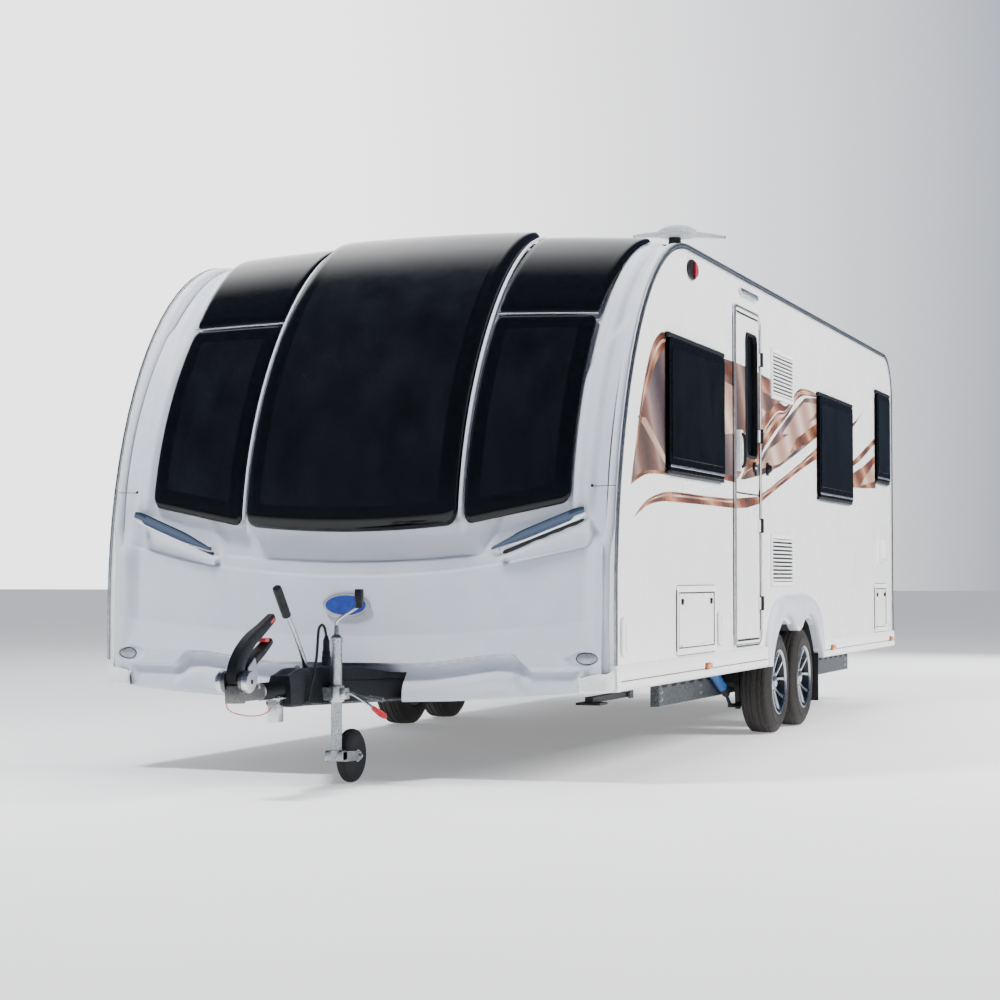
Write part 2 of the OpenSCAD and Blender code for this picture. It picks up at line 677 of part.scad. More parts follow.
module cover_plan(out) polygon([
    [-60 - out, apex_d - 76 - out], [60 + out, apex_d - 76 - out], [beam_x(-500) + cover_gap + out, -500],
    [beam_x(80) + cover_gap + out, 80 + out], [-beam_x(80) - cover_gap - out, 80 + out],
    [-beam_x(-500) - cover_gap - out, -500]]);

module drawbar_cover() color([0.08, 0.08, 0.09]) from_front() difference() {
    translate([0, 0, cover_z]) linear_extrude(cover_top_z - cover_z) cover_plan(0);
    translate([0, 0, cover_z - 1]) linear_extrude(cover_top_z - cover_z + 1 - cover_t) cover_plan(-cover_t);
    block([-beam_x(80) - 3, 60, cover_z - 10], [beam_x(80) + 3, 120, sill_z + 6]);
    block([-16, -524, cover_z + 20], [16, -444, cover_top_z + 1]);
    block([40, -jockey_d - 60, cover_z - 10], [200, -jockey_d + 60, clamp_z + 50]);
    block([60, -jockey_d - 60, cover_z - 10], [200, -jockey_d + 60, cover_top_z + 1]);
    translate([0, apex_d - 100, hitch_z]) rotate([-90, 0, 0]) cylinder(r = overrun_r + 4, h = 60);
}

module grab_handles() color("gainsboro") from_front() both_sides() {
    inner = [695, -26, 1011];
    outer = [1084, 6, 1165];
    rod(inner, outer, 13);
    for (p = [inner, outer]) translate(p) sphere(14.5);
    translate(inner) rotate([-90, 0, 0]) cylinder(r = 10, h = 35);
    translate(outer) rotate([-90, 0, 0]) cylinder(r = 10, h = 43);
}

module road_lamps() color("orange") from_front() both_sides() {
    translate([1108, -4, 531]) rotate([90, 0, 0]) cylinder(r = 40, h = 26);
    for (d = [1546, 4672, body_l - 157])
        block([half_w + skirt_out + 1, d - 50, sill_z - 2], [half_w + skirt_out + 12, d + 50, sill_z + 26]);
    block([960, body_l + 1, 660], [1110, body_l + rear_proud, 1270]);
    across(half_w + 1, half_w + 24) translate([1293, 2376]) circle(54);
    across(half_w + 1, half_w + 18) translate([2278, 2380]) rounded(366, 32, 10);
}

module roof_fittings() color("whitesmoke") from_front() {
    translate([aerial_x, aerial_d, rail_h + dome(aerial_x - 42)]) cylinder(r = 42, h = 64);
    translate([0, 0, rail_h + dome(aerial_x) + 60]) linear_extrude(34) polygon([
        [aerial_x - 60, aerial_d - 110], [aerial_x + 150, aerial_d - 60], [aerial_x + 190, aerial_d + 10],
        [aerial_x + 150, aerial_d + 60], [aerial_x - 60, aerial_d + 110], [aerial_x - 160, aerial_d + 60],
        [aerial_x - 160, aerial_d - 60]]);
    block([-210, 3390, roof_z - 1], [210, 3810, roof_z + 60]);
    block([-360, 4900, roof_z - 1], [360, 5400, roof_z + 70]);
    block([-170, 6100, roof_z - 1], [170, 6440, roof_z + 50]);
}

// ---- jockey wheel ----

module jockey_tube() color("silver") from_front() translate([jockey_x, -jockey_d, 0]) {
    translate([0, 0, jockey_foot_z]) cylinder(r = jockey_r, h = jockey_top_z - jockey_foot_z);
    translate([0, 0, jockey_foot_z - 50]) cylinder(r = spigot_r, h = 52);
    translate([0, 0, jockey_top_z - 1]) cylinder(r = 9, h = 46);
    translate([0, 0, jockey_top_z + 36]) rotate([0, 60, 0]) cylinder(r = 7, h = 120);
    translate([104, 0, jockey_top_z + 90]) cylinder(r = 15, h = 96);
}

module jockey_fork() color("silver") from_front() translate([jockey_x, -jockey_d, 0]) difference() {
    union() {
        translate([0, 0, jockey_foot_z - 50]) cylinder(r = spigot_r + 9, h = 46);
        block([-fork_in - fork_t, -12, jockey_foot_z - 50], [fork_in + fork_t, 12, jockey_foot_z - 6]);
        for (s = [-1, 1]) translate([s > 0 ? fork_in : -fork_in - fork_t, 0, 0]) across(0, fork_t) polygon([
            [-12, jockey_foot_z - 50], [-12, jockey_foot_z - 6], [12, jockey_foot_z - 6],
            [jockey_trail + 16, jockey_hub_z + 18], [jockey_trail + 16, jockey_hub_z - 16],
            [jockey_trail - 16, jockey_hub_z - 16]]);
        translate([-fork_in - 1, jockey_trail, jockey_hub_z]) rotate([0, 90, 0]) cylinder(r = 8, h = 2 * fork_in + 2);
    }
    translate([0, 0, jockey_foot_z - 60]) cylinder(r = spigot_r + run_gap, h = 70);
}

module jockey_wheel() color([0.1, 0.1, 0.1]) from_front()
    translate([jockey_x, jockey_trail - jockey_d, jockey_hub_z]) rotate([0, 90, 0]) difference() {
        translate([0, 0, -jockey_wheel_w / 2]) cylinder(r = jockey_wheel_d / 2, h = jockey_wheel_w);
        translate([0, 0, -50]) cylinder(r = 8 + run_gap, h = 100);
    }

module mudflaps() color([0.1, 0.1, 0.1]) from_front() both_sides()
    block([tyre_x - tyre_w / 2 + 10, rear_axle_d + tyre_r + 34, 130],
        [half_w - 4, rear_axle_d + tyre_r + 40, sill_z - 12]);

// ---- cables ----

// A round cable swept along points of a route
function circle_ring(c, dir, r, sides) =
    let (f = dir / norm(dir), u = cross(f, [1, 0, 0]) / norm(cross(f, [1, 0, 0])), v = cross(f, u))
    [for (i = [0:sides - 1]) c + r * (cos(360 * i / sides) * u + sin(360 * i / sides) * v)];

module cable(route, r) {
    sides = 8;
    n = len(route);
    pts = [for (i = [0:n - 1]) each circle_ring(route[i],
        route[min(i + 1, n - 1)] - route[max(i - 1, 0)], r, sides)];
    polyhedron(pts, concat([[for (k = [0:sides - 1]) k]], [[for (k = [sides - 1:-1:0]) (n - 1) * sides + k]],
        [for (i = [0:n - 2], k = [0:sides - 1]) let (a = i * sides + k, b = i * sides + (k + 1) % sides)
            [a, a + sides, b + sides, b]]));
}

// A smooth path through hand-picked points
function spline(p, steps) = let (n = len(p)) [for (i = [0:n - 2], k = [0:steps - 1])
    let (t = k / steps, a = p[max(i - 1, 0)], b = p[i], c = p[i + 1], e = p[min(i + 2, n - 1)])
    0.5 * (2 * b + (c - a) * t + (2 * a - 5 * b + 4 * c - e) * t * t + (3 * b - a - 3 * c + e) * t * t * t),
    p[n - 1]];

module tow_lead() color([0.08, 0.08, 0.08]) from_front() cable(spline(tow_route, 3), tow_lead_r);

module tow_plug() color([0.08, 0.08, 0.08]) from_front() translate([55, -379, cover_top_z + 2]) {
    cylinder(r = 19, h = 60);
    translate([0, 0, 59]) cylinder(r = 14, h = 60);
}

module breakaway_cable() color("red") from_front() cable(spline(breakaway_route, 3), breakaway_r);

// ---- steadies ----

module steady(side, d, way) color("gray") from_front() translate([side * steady_x, d, steady_z]) {
    reach = way * steady_l;
    rotate([0, 90, 0]) translate([0, 0, -25]) cylinder(r = 14, h = 50);
    block([-20, min(0, reach), -14], [20, max(0, reach), 14]);
    block([-60, min(reach - way * 110, reach + way * 20), -24], [60, max(reach - way * 110, reach + way * 20), -13]);
}

chassis_frame();
drawbar();
floor_panel();
nearside_wall();
offside_wall();
roof_panel();
rear_panel();
front_panel();
front_windows();
front_roof_panels();
side_windows();
door_frame();
wall_vents();
wheel_spats();
side_skirts();
axles();
coupling_head();
stabiliser_handle();
handbrake_lever();
drawbar_cover();
grab_handles();
road_lamps();
roof_fittings();
awning_rails();
mudflaps();
tow_lead();
tow_plug();
breakaway_cable();
tyre(tyre_x, axle_d);  // tyre_front_near
tyre(tyre_x, rear_axle_d);  // tyre_rear_near
tyre(-tyre_x, axle_d);  // tyre_front_off
tyre(-tyre_x, rear_axle_d);  // tyre_rear_off
rim(tyre_x, axle_d);  // rim_front_near
rim(tyre_x, rear_axle_d);  // rim_rear_near
rim(-tyre_x, axle_d);  // rim_front_off
rim(-tyre_x, rear_axle_d);  // rim_rear_off
door_upper();
door_window();
door_lower();
front_locker_door();
rear_locker_door();
jockey_tube();
jockey_fork();
jockey_wheel();
steady(1, steady_front_d, -1);  // steady_front_near
steady(-1, steady_front_d, -1);  // steady_front_off
steady(1, steady_rear_d, 1);  // steady_rear_near
steady(-1, steady_rear_d, 1);  // steady_rear_off
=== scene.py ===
import math

import bpy
import numpy as np
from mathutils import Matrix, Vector


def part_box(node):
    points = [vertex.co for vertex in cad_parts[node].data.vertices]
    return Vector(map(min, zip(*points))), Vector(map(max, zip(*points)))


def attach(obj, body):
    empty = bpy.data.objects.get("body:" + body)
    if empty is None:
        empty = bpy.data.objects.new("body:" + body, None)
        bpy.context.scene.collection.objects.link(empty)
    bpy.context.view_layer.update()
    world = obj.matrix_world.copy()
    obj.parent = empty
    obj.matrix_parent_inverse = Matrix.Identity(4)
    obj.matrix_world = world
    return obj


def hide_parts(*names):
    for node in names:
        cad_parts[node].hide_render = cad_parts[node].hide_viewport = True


bl_info = {
    "name": "Touring caravan",
    "version": (1, 0, 0),
    "blender": (4, 5, 0),
    "location": "View3D > Sidebar > Caravan",
    "description": "Builds the looks of a twin-axle touring caravan around its packed frame",
    "category": "Object",
}

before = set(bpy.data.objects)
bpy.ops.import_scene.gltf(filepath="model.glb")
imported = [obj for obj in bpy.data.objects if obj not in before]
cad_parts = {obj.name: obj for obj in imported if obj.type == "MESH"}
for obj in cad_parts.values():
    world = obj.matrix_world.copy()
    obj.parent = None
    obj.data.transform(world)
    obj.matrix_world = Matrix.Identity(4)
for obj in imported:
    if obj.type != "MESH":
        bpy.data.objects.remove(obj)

# ---- sizes shared with the frame, in millimetres; x across, d back from the front edge, z up ----

FRONT_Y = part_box("awning_rails")[0].y * 1000
HALF_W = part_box("nearside_wall")[1].x * 1000
RAIL_Z = 2487
SKIRT_Z = 391
BODY_L = 6960
CROWN_D = 1230
TAIL_R = 320
NOSE_Z = 748
BROW_Z = 1030
FACE_D = -10
FACE_BOW = 60
FACE_HALF = HALF_W - 88
LEAN = 40
RISE = 55
TYRE_R = 291
TYRE_X = HALF_W - 109
AXLES = (3316, 3992)
MEMBER_X = 920
SILL_Z = 434
SKIRT_TOP = 502
JOCKEY_X, JOCKEY_D = 126, -430
WHOLE_WALL = ((-100, BODY_L + 100),)
BESIDE_DOOR = ((-100, 2150), (2746, BODY_L + 100))


def at(x, d, z):
    return Vector((x, FRONT_Y + d, z)) / 1000


def bez(a, b, c, e, t):
    return (1 - t) ** 3 * a + 3 * (1 - t) ** 2 * t * b + 3 * (1 - t) * t * t * c + t ** 3 * e


def smooth(lo, hi, v):
    k = np.clip((np.asarray(v, float) - lo) / (hi - lo), 0, 1)
    return k * k * (3 - 2 * k)


def dome(x):
    return RISE * (1 - (x / HALF_W) ** 2)


def lip(x):
    return SKIRT_Z - 52 * (1 - (x / FACE_HALF) ** 2)


def face_curve(x, t):
    top = RAIL_Z + dome(x)
    tu = np.clip(t, 0, 1)
    d = bez(FACE_D, FACE_D, CROWN_D - 520, CROWN_D, tu)
    z = bez(BROW_Z, BROW_Z + 740, top, top, tu)
    low = np.minimum(t, 0)
    return d + LEAN * low, z + low * (BROW_Z - lip(x))


def face(x, t, out=0.0):
    """Point (x, d, z) of the front moulding, out millimetres off its surface."""
    x, t, out = np.broadcast_arrays(np.asarray(x, float), np.asarray(t, float), np.asarray(out, float))
    d0, z0 = face_curve(x, np.minimum(t, 0.99))
    d1, z1 = face_curve(x, np.minimum(t + 0.01, 1))
    d, z = face_curve(x, t)
    n = np.hypot(d1 - d0, z1 - z0)
    bow = FACE_BOW * (x / FACE_HALF) ** 2 * (1 - np.maximum(t, 0))
    return np.stack([x, d - (z1 - z0) / n * out + bow, z + (d1 - d0) / n * out], -1)


def t_at(x, z):
    """The face parameter at height z."""
    lo, hi = -1.0, 1.0
    for _ in range(40):
        mid = (lo + hi) / 2
        if face_curve(x, mid)[1] < z:
            lo = mid
        else:
            hi = mid
    return (lo + hi) / 2


def nose(s, inset=0.0):
    """Point (d, z) of the side walls' outline, s from 0 at the sill to 1 at the crown."""
    return (bez(inset, inset, CROWN_D - 705 + inset / 2, CROWN_D, s),
            bez(NOSE_Z, NOSE_Z + 946, RAIL_Z - inset, RAIL_Z - inset, s))


# ---- materials ----

RAMP, SWEEP = "ShaderNodeValToRGB", "ShaderNodeTexWave"


def srgb(code):
    vals = [int(code[i:i + 2], 16) / 255 for i in (1, 3, 5)]
    return [v / 12.92 if v <= 0.04045 else ((v + 0.055) / 1.055) ** 2.4 for v in vals] + [1.0]


def node(tree, kind, links=(), stops=(), **settings):
    """Adds a node; links are (own input, other node's output), stops a ramp's (place, tone), settings its values."""
    n = tree.nodes.new(kind)
    while stops and len(n.color_ramp.elements) < len(stops):
        n.color_ramp.elements.new(0.5)
    for place, (pos, tone) in enumerate(stops):
        n.color_ramp.elements[place].position = pos
        n.color_ramp.elements[place].color = srgb(tone) if isinstance(tone, str) else [tone] * 3 + [1]
    for key, value in settings.items():
        if hasattr(n, key):
            setattr(n, key, value)
        else:
            n.inputs[key.replace("_", " ")].default_value = value
    for own, socket in links:
        tree.links.new(socket, n.inputs[own])
    return n


def shader(name, colour, metal, rough, **inputs):
    m = bpy.data.materials.new(name)
    m.use_nodes = True
    m.diffuse_color = srgb(colour)
    bsdf = m.node_tree.nodes["Principled BSDF"]
    bsdf.inputs["Base Color"].default_value = srgb(colour)
    bsdf.inputs["Metallic"].default_value = metal
    bsdf.inputs["Roughness"].default_value = rough
    for key, value in inputs.items():
        bsdf.inputs[key.replace("_", " ")].default_value = value
    return m, m.node_tree, bsdf


def pattern(tree, kind, size_mm, stretch=(1, 1, 1), **settings):
    """A texture in object space whose features are about size_mm across."""
    where = node(tree, "ShaderNodeTexCoord")
    spread = node(tree, "ShaderNodeMapping", [("Vector", where.outputs["Object"])])
    spread.inputs["Scale"].default_value = [1000 / size_mm * k for k in stretch]
    return node(tree, kind, [("Vector", spread.outputs["Vector"])], **settings)


def tint(tree, bsdf, size_mm, stops, stretch=(1, 1, 1), detail=3.0, kind="ShaderNodeTexNoise", **settings):
    tex = pattern(tree, kind, size_mm, stretch, Detail=detail, **settings)
    tone = node(tree, RAMP, [("Fac", tex.outputs["Fac"])], stops)
    tree.links.new(tone.outputs["Color"], bsdf.inputs["Base Color"])


def wear(tree, bsdf, size_mm, lo, hi, stretch=(1, 1, 1)):
    tex = pattern(tree, "ShaderNodeTexNoise", size_mm, stretch, Detail=4.0)
    dull = node(tree, RAMP, [("Fac", tex.outputs["Fac"])], [(0.3, lo), (0.7, hi)])
    tree.links.new(dull.outputs["Color"], bsdf.inputs["Roughness"])


def relief(tree, bsdf, size_mm, height_mm, kind="ShaderNodeTexNoise", stretch=(1, 1, 1)):
    tex = pattern(tree, kind, size_mm, stretch)
    b = node(tree, "ShaderNodeBump", [("Height", tex.outputs[0])], Strength=1.0, Distance=height_mm / 1000)
    tree.links.new(b.outputs["Normal"], bsdf.inputs["Normal"])


def gelcoat_with_painted_shade():
    # Moulded glass-fibre: glossy, with a trace of print-through that bends reflections; its white is painted down to
    # a cool blue-grey below the walls' white, as painted shade for the soft shade the mouldings sit in
    m, tree, bsdf = shader("gelcoat_with_painted_shade", "#D3D7E2", 0, 0.22, Coat_Weight=0.4, Coat_Roughness=0.08)
    tint(tree, bsdf, 900, [(0.3, "#CFD4E0"), (0.7, "#D8DBE4")])
    wear(tree, bsdf, 260, 0.17, 0.27)
    relief(tree, bsdf, 45, 0.02)
    return m


def wall_skin():
    # Coated sheet on foam: bright even white with very long shallow ripples
    m, tree, bsdf = shader("wall_skin", "#F7F7F8", 0, 0.25, Coat_Weight=0.3, Coat_Roughness=0.1)
    tint(tree, bsdf, 1400, [(0.3, "#F4F5F6"), (0.7, "#FAFAFA")])
    wear(tree, bsdf, 900, 0.25, 0.28)
    return m


def white_plastic():
    # Vacuum-formed ABS trim: a touch warmer and duller than the walls; its 0.3 mm grain is drawn at 1.2 mm to show
    m, tree, bsdf = shader("white_plastic", "#EFEFEE", 0, 0.4)
    tint(tree, bsdf, 120, [(0.3, "#EAEAE9"), (0.7, "#F4F4F3")])
    wear(tree, bsdf, 60, 0.34, 0.46)
    relief(tree, bsdf, 1.2, 0.02)
    return m


def tinted_acrylic():
    # Thermoformed smoked acrylic: deep grey-black with soft mirror-like reflections
    m, tree, bsdf = shader("tinted_acrylic", "#0B0C0F", 0, 0.16, Specular_IOR_Level=0.32)
    tint(tree, bsdf, 700, [(0.25, "#08090B"), (0.75, "#131519")], (1, 1, 0.4))
    wear(tree, bsdf, 300, 0.13, 0.2)
    relief(tree, bsdf, 900, 0.4)
    return m


def side_acrylic():
    # Cast acrylic windows over a dark cabin: near black, with little sheen even along the wall
    m, tree, bsdf = shader("side_acrylic", "#040506", 0, 0.2, Specular_IOR_Level=0.2, IOR=1.12)
    tint(tree, bsdf, 500, [(0.3, "#020303"), (0.7, "#0B0D10")], (1, 1, 0.5))
    wear(tree, bsdf, 300, 0.16, 0.24)
    return m


def glazing_border():
    # The printed edge of a pane: solid black under gloss
    m, tree, bsdf = shader("glazing_border", "#040507", 0, 0.14, Specular_IOR_Level=0.3)
    wear(tree, bsdf, 140, 0.08, 0.15)
    tint(tree, bsdf, 160, [(0.3, "#050608"), (0.7, "#0A0B0E")])
    return m


def side_border():
    # The thick black frames of the side windows
    m, tree, bsdf = shader("side_border", "#020303", 0, 0.25, Specular_IOR_Level=0.2, IOR=1.12)
    wear(tree, bsdf, 140, 0.2, 0.32)
    tint(tree, bsdf, 160, [(0.3, "#020203"), (0.7, "#06070A")])
    return m


def black_plastic():
    # Moulded black polypropylene: its 0.5 mm grain, drawn at 1.5 mm to show, breaks up the shine
    m, tree, bsdf = shader("black_plastic", "#0D0E11", 0, 0.5, Specular_IOR_Level=0.35)
    tint(tree, bsdf, 70, [(0.3, "#08090B"), (0.72, "#15171B")])
    wear(tree, bsdf, 30, 0.38, 0.6)
    relief(tree, bsdf, 1.5, 0.08)
    return m


def rubber():
    # Seal and cable rubber: flat charcoal without shine
    m, tree, bsdf = shader("rubber", "#191A1C", 0, 0.75)
    tint(tree, bsdf, 25, [(0.3, "#151618"), (0.7, "#222326")])
    relief(tree, bsdf, 2, 0.05)
    return m


def tyre_rubber():
    # Road tyre: brown-grey bloom over black, duller on the tread
    m, tree, bsdf = shader("tyre_rubber", "#252322", 0, 0.7)
    tint(tree, bsdf, 40, [(0.25, "#1B1A1A"), (0.75, "#34302D")], detail=6.0)
    wear(tree, bsdf, 22, 0.6, 0.85)
    relief(tree, bsdf, 3, 0.15)
    return m


def galvanised():
    # Hot-dip zinc: pale grey crystals of slightly different brightness
    m, tree, bsdf = shader("galvanised", "#9DA1A5", 1, 0.42)
    cells = pattern(tree, "ShaderNodeTexVoronoi", 14, Randomness=1.0)
    tone = node(tree, "ShaderNodeSeparateColor", [("Color", cells.outputs["Color"])])
    shade = node(tree, RAMP, [("Fac", tone.outputs["Red"])], [(0, "#7C8186"), (0.5, "#9EA3A7"), (1, "#C8CCCF")])
    dull = node(tree, RAMP, [("Fac", tone.outputs["Green"])], [(0, 0.32), (1, 0.55)])
    tree.links.new(shade.outputs["Color"], bsdf.inputs["Base Color"])
    tree.links.new(dull.outputs["Color"], bsdf.inputs["Roughness"])
    relief(tree, bsdf, 6, 0.08)
    return m


def zinc_steel():
    # Bright zinc-plated steel with faint drawn lines, drawn far coarser than real ones so that they show
    m, tree, bsdf = shader("zinc_steel", "#C9CCCF", 1, 0.3)
    tint(tree, bsdf, 40, [(0.3, "#B2B6BA"), (0.7, "#D8DADC")], (1, 1, 6))
    wear(tree, bsdf, 20, 0.22, 0.42)
    return m


def cast_iron():
    # Rough casting, plated: dull silver with pits
    m, tree, bsdf = shader("cast_iron", "#6E6E6C", 1, 0.5)
    tint(tree, bsdf, 18, [(0.3, "#4C4C4A"), (0.7, "#8A8A88")], detail=6.0)
    relief(tree, bsdf, 3, 0.25)
    return m


def black_steel():
    # Painted pressed steel: near black, slightly chalky
    m, tree, bsdf = shader("black_steel", "#15171A", 0.2, 0.5)
    tint(tree, bsdf, 60, [(0.3, "#101216"), (0.7, "#22252A")])
    relief(tree, bsdf, 8, 0.12)
    return m


def chrome():
    # Plated grab bar: a clean mirror that picks up the sky
    m, tree, bsdf = shader("chrome", "#D5DBE2", 1, 0.06)
    wear(tree, bsdf, 80, 0.04, 0.12)
    return m


def anodised():
    # Drawn aluminium edge trim: satin grey with lines along its length
    m, tree, bsdf = shader("anodised", "#C2C4C7", 1, 0.35)
    tint(tree, bsdf, 90, [(0.3, "#AEB1B5"), (0.7, "#D2D4D6")])
    wear(tree, bsdf, 30, 0.28, 0.45)
    return m


def alloy():
    # Diamond-turned aluminium: bright, with fine tool marks drawn at 8 mm so that they show
    m, tree, bsdf = shader("alloy", "#B4B9BF", 1, 0.24)
    tint(tree, bsdf, 8, [(0.3, "#A2A8AE"), (0.7, "#C6CACF")])
    wear(tree, bsdf, 12, 0.16, 0.32)
    return m


def pocket_paint_and_shade():
    # Metallic anthracite on the barrel and on the disc behind the spokes: the wheel's painted pockets, and painted
    # shade where the gaps between the spokes look into the drum
    m, tree, bsdf = shader("pocket_paint_and_shade", "#0B0F16", 0.3, 0.4)
    tint(tree, bsdf, 30, [(0.3, "#080B11"), (0.7, "#141B27")])
    return m


def copper_print():
    # Vinyl print: copper running smoothly from pale rose to brown in wide slanting sweeps
    m, tree, bsdf = shader("copper_print", "#7A432A", 0.1, 0.4)
    tint(tree, bsdf, 900, [(0, "#4E2A1B"), (0.3, "#7E4A32"), (0.6, "#B98566"), (0.8, "#94603F"), (1, "#5E3524")],
         (0, 0.5, 1.1), 0.0, SWEEP, Scale=1.0, Distortion=1.6, bands_direction="DIAGONAL")
    wear(tree, bsdf, 200, 0.25, 0.4)
    return m


def dusk_print():
    # Vinyl print behind the windows: mauve greys fading into warm brown
    m, tree, bsdf = shader("dusk_print", "#3A3236", 0, 0.4)
    tint(tree, bsdf, 1500, [(0, "#3B3034"), (0.4, "#6B5A58"), (0.6, "#8D7269"), (0.8, "#6A4A3C"), (1, "#46352F")],
         (0, 1, 0.7), 0.0, SWEEP, Scale=1.0, Distortion=1.2, bands_direction="DIAGONAL")
    wear(tree, bsdf, 200, 0.3, 0.42)
    return m


def pale_print():
    # Vinyl print: light facets between the stripes
    m, tree, bsdf = shader("pale_print", "#9C8274", 0, 0.4)
    tint(tree, bsdf, 1200, [(0, "#8A6A5A"), (0.5, "#CDB3A4"), (1, "#9A7867")], (0, 0.8, 1), 0.0, SWEEP, Scale=1.0,
         Distortion=0.8, bands_direction="DIAGONAL")
    return m


def clear_lens():
    # Ribbed clear lamp glass over a grey reflector
    m, tree, bsdf = shader("clear_lens", "#9EA4AA", 0.5, 0.15, Coat_Weight=0.6)
    tint(tree, bsdf, 14, [(0.3, "#757B82"), (0.7, "#C3C8CD")])
    relief(tree, bsdf, 7, 0.6, "ShaderNodeTexVoronoi")
    return m


def amber_lens():
    # Moulded orange lens with a fine prism grain
    m, tree, bsdf = shader("amber_lens", "#CF5A08", 0, 0.3, Coat_Weight=0.2)
    tint(tree, bsdf, 10, [(0.3, "#C04E04"), (0.7, "#E27A1C")])
    relief(tree, bsdf, 5, 0.4, "ShaderNodeTexVoronoi")
    return m


def red_lens():
    # Moulded red lens
    m, tree, bsdf = shader("red_lens", "#B3121B", 0, 0.18, Coat_Weight=0.8)
    tint(tree, bsdf, 12, [(0.3, "#8F0D14"), (0.7, "#CE2029")])
    relief(tree, bsdf, 6, 0.4, "ShaderNodeTexVoronoi")
    return m


def red_plastic():
    # Dipped red grip and cable sleeve
    m, tree, bsdf = shader("red_plastic", "#B4232B", 0, 0.42)
    tint(tree, bsdf, 25, [(0.3, "#9C1C24"), (0.7, "#C93640")])
    return m


def blue_enamel():
    # Domed badge: deep blue under clear resin
    m, tree, bsdf = shader("blue_enamel", "#1B3A96", 0, 0.2, Coat_Weight=0.6)
    tint(tree, bsdf, 200, [(0.3, "#183488"), (0.7, "#1E42A6")])
    return m


def blue_paint():
    # Shock absorber tubes in hard blue paint
    m, tree, bsdf = shader("blue_paint", "#1F5FB0", 0.1, 0.35)
    tint(tree, bsdf, 60, [(0.3, "#184C90"), (0.7, "#2A6DC0")])
    return m


def roof_plastic():
    # Sun-bleached light grey rooflight plastic
    m, tree, bsdf = shader("roof_plastic", "#C9CCCF", 0, 0.4)
    tint(tree, bsdf, 110, [(0.3, "#BCC0C4"), (0.7, "#D6D8DA")])
    relief(tree, bsdf, 2, 0.05)
    return m


def aerial_plastic():
    # Weathered grey ABS moulding, a shade darker than the roof
    m, tree, bsdf = shader("aerial_plastic", "#9DA2A8", 0, 0.4)
    tint(tree, bsdf, 90, [(0.3, "#92979D"), (0.7, "#A9AEB3")])
    return m


def zinc_in_painted_shade():
    # Zinc of the chassis and drawbar: flatter than the hitch's, and painted darker as painted shade for the shadow
    # under the body
    m, tree, bsdf = shader("zinc_in_painted_shade", "#65696D", 0.8, 0.55)
    tint(tree, bsdf, 60, [(0.3, "#4E5256"), (0.7, "#7B7F83")], detail=5.0)
    relief(tree, bsdf, 8, 0.1)
    return m


def floor_board():
    # Sealed ply underside, dark and slightly stained
    m, tree, bsdf = shader("floor_board", "#2A2A2C", 0, 0.7)
    tint(tree, bsdf, 300, [(0.3, "#212123"), (0.7, "#38373A")], (1, 0.2, 1))
    relief(tree, bsdf, 12, 0.3)
    return m


def shadow_gap():
    # Recesses and joints seen as near-black lines
    m, tree, bsdf = shader("shadow_gap", "#16171A", 0, 0.7)
    tint(tree, bsdf, 50, [(0.3, "#121316"), (0.7, "#1E2024")])
    return m


def studio_floor():
    # Matt pale paper sweep, lit from within a little so that shadows stay soft
    m, tree, bsdf = shader("studio_floor", "#E4E5E6", 0, 0.9, Emission_Color=(1, 1, 1, 1), Emission_Strength=0.3)
    tint(tree, bsdf, 4000, [(0.3, "#E2E3E4"), (0.7, "#E7E8E9")])
    return m


MATERIALS = {}


def mat(make):
    if make.__name__ not in MATERIALS:
        MATERIALS[make.__name__] = make()
    return MATERIALS[make.__name__]


# ---- geometry ----

def rounded_rect(a0, b0, a1, b1, r, n=5):
    """Outline of a rectangle with round corners."""
    pts = []
    for ca, cb, start in ((a1 - r, b0 + r, -90), (a1 - r, b1 - r, 0), (a0 + r, b1 - r, 90), (a0 + r, b0 + r, 180)):
        for i in range(n + 1):
            a = math.radians(start + 90 * i / n)
            pts.append((ca + r * math.cos(a), cb + r * math.sin(a)))
    return pts


def offset(outline, by):
    """Moves each side of a closed outline inwards."""
    pts = np.array(outline, float)
    area = np.sum(pts[:, 0] * np.roll(pts[:, 1], -1) - np.roll(pts[:, 0], -1) * pts[:, 1])
    side = np.roll(pts, -1, 0) - pts
    side /= np.maximum(np.linalg.norm(side, axis=1), 1e-9)[:, None]
    normal = np.stack([-side[:, 1], side[:, 0]], 1) * (1 if area > 0 else -1)
    mid = normal + np.roll(normal, 1, 0)
    length = np.maximum(np.sum(mid * mid, 1), 0.6)
    return pts + mid * (2 * by / length)[:, None]


def spline(points, steps=8):
    p = [np.array(q, float) for q in points]
    out = []
    for i in range(len(p) - 1):
        a, b, c, e = p[max(i - 1, 0)], p[i], p[i + 1], p[min(i + 2, len(p) - 1)]
        for k in range(steps):
            t = k / steps
            out.append(0.5 * (2 * b + (c - a) * t + (2 * a - 5 * b + 4 * c - e) * t * t
                              + (3 * b - a - 3 * c + e) * t ** 3))
    return out + [p[-1]]


def spaced(points, n, closed=False):
    """n points at equal steps along a flat line."""
    p = np.array(points, float)
    run = np.concatenate([[0], np.cumsum(np.linalg.norm(np.diff(p, axis=0), axis=1))])
    want = np.linspace(0, run[-1], n, endpoint=not closed)
    return np.stack([np.interp(want, run, p[:, 0]), np.interp(want, run, p[:, 1])], 1)


def even(line, n, steps):
    """A smooth line through the points, as n points at equal steps."""
    return spaced(np.array(spline([(a, b, 0) for a, b in line], steps))[:, :2], n)


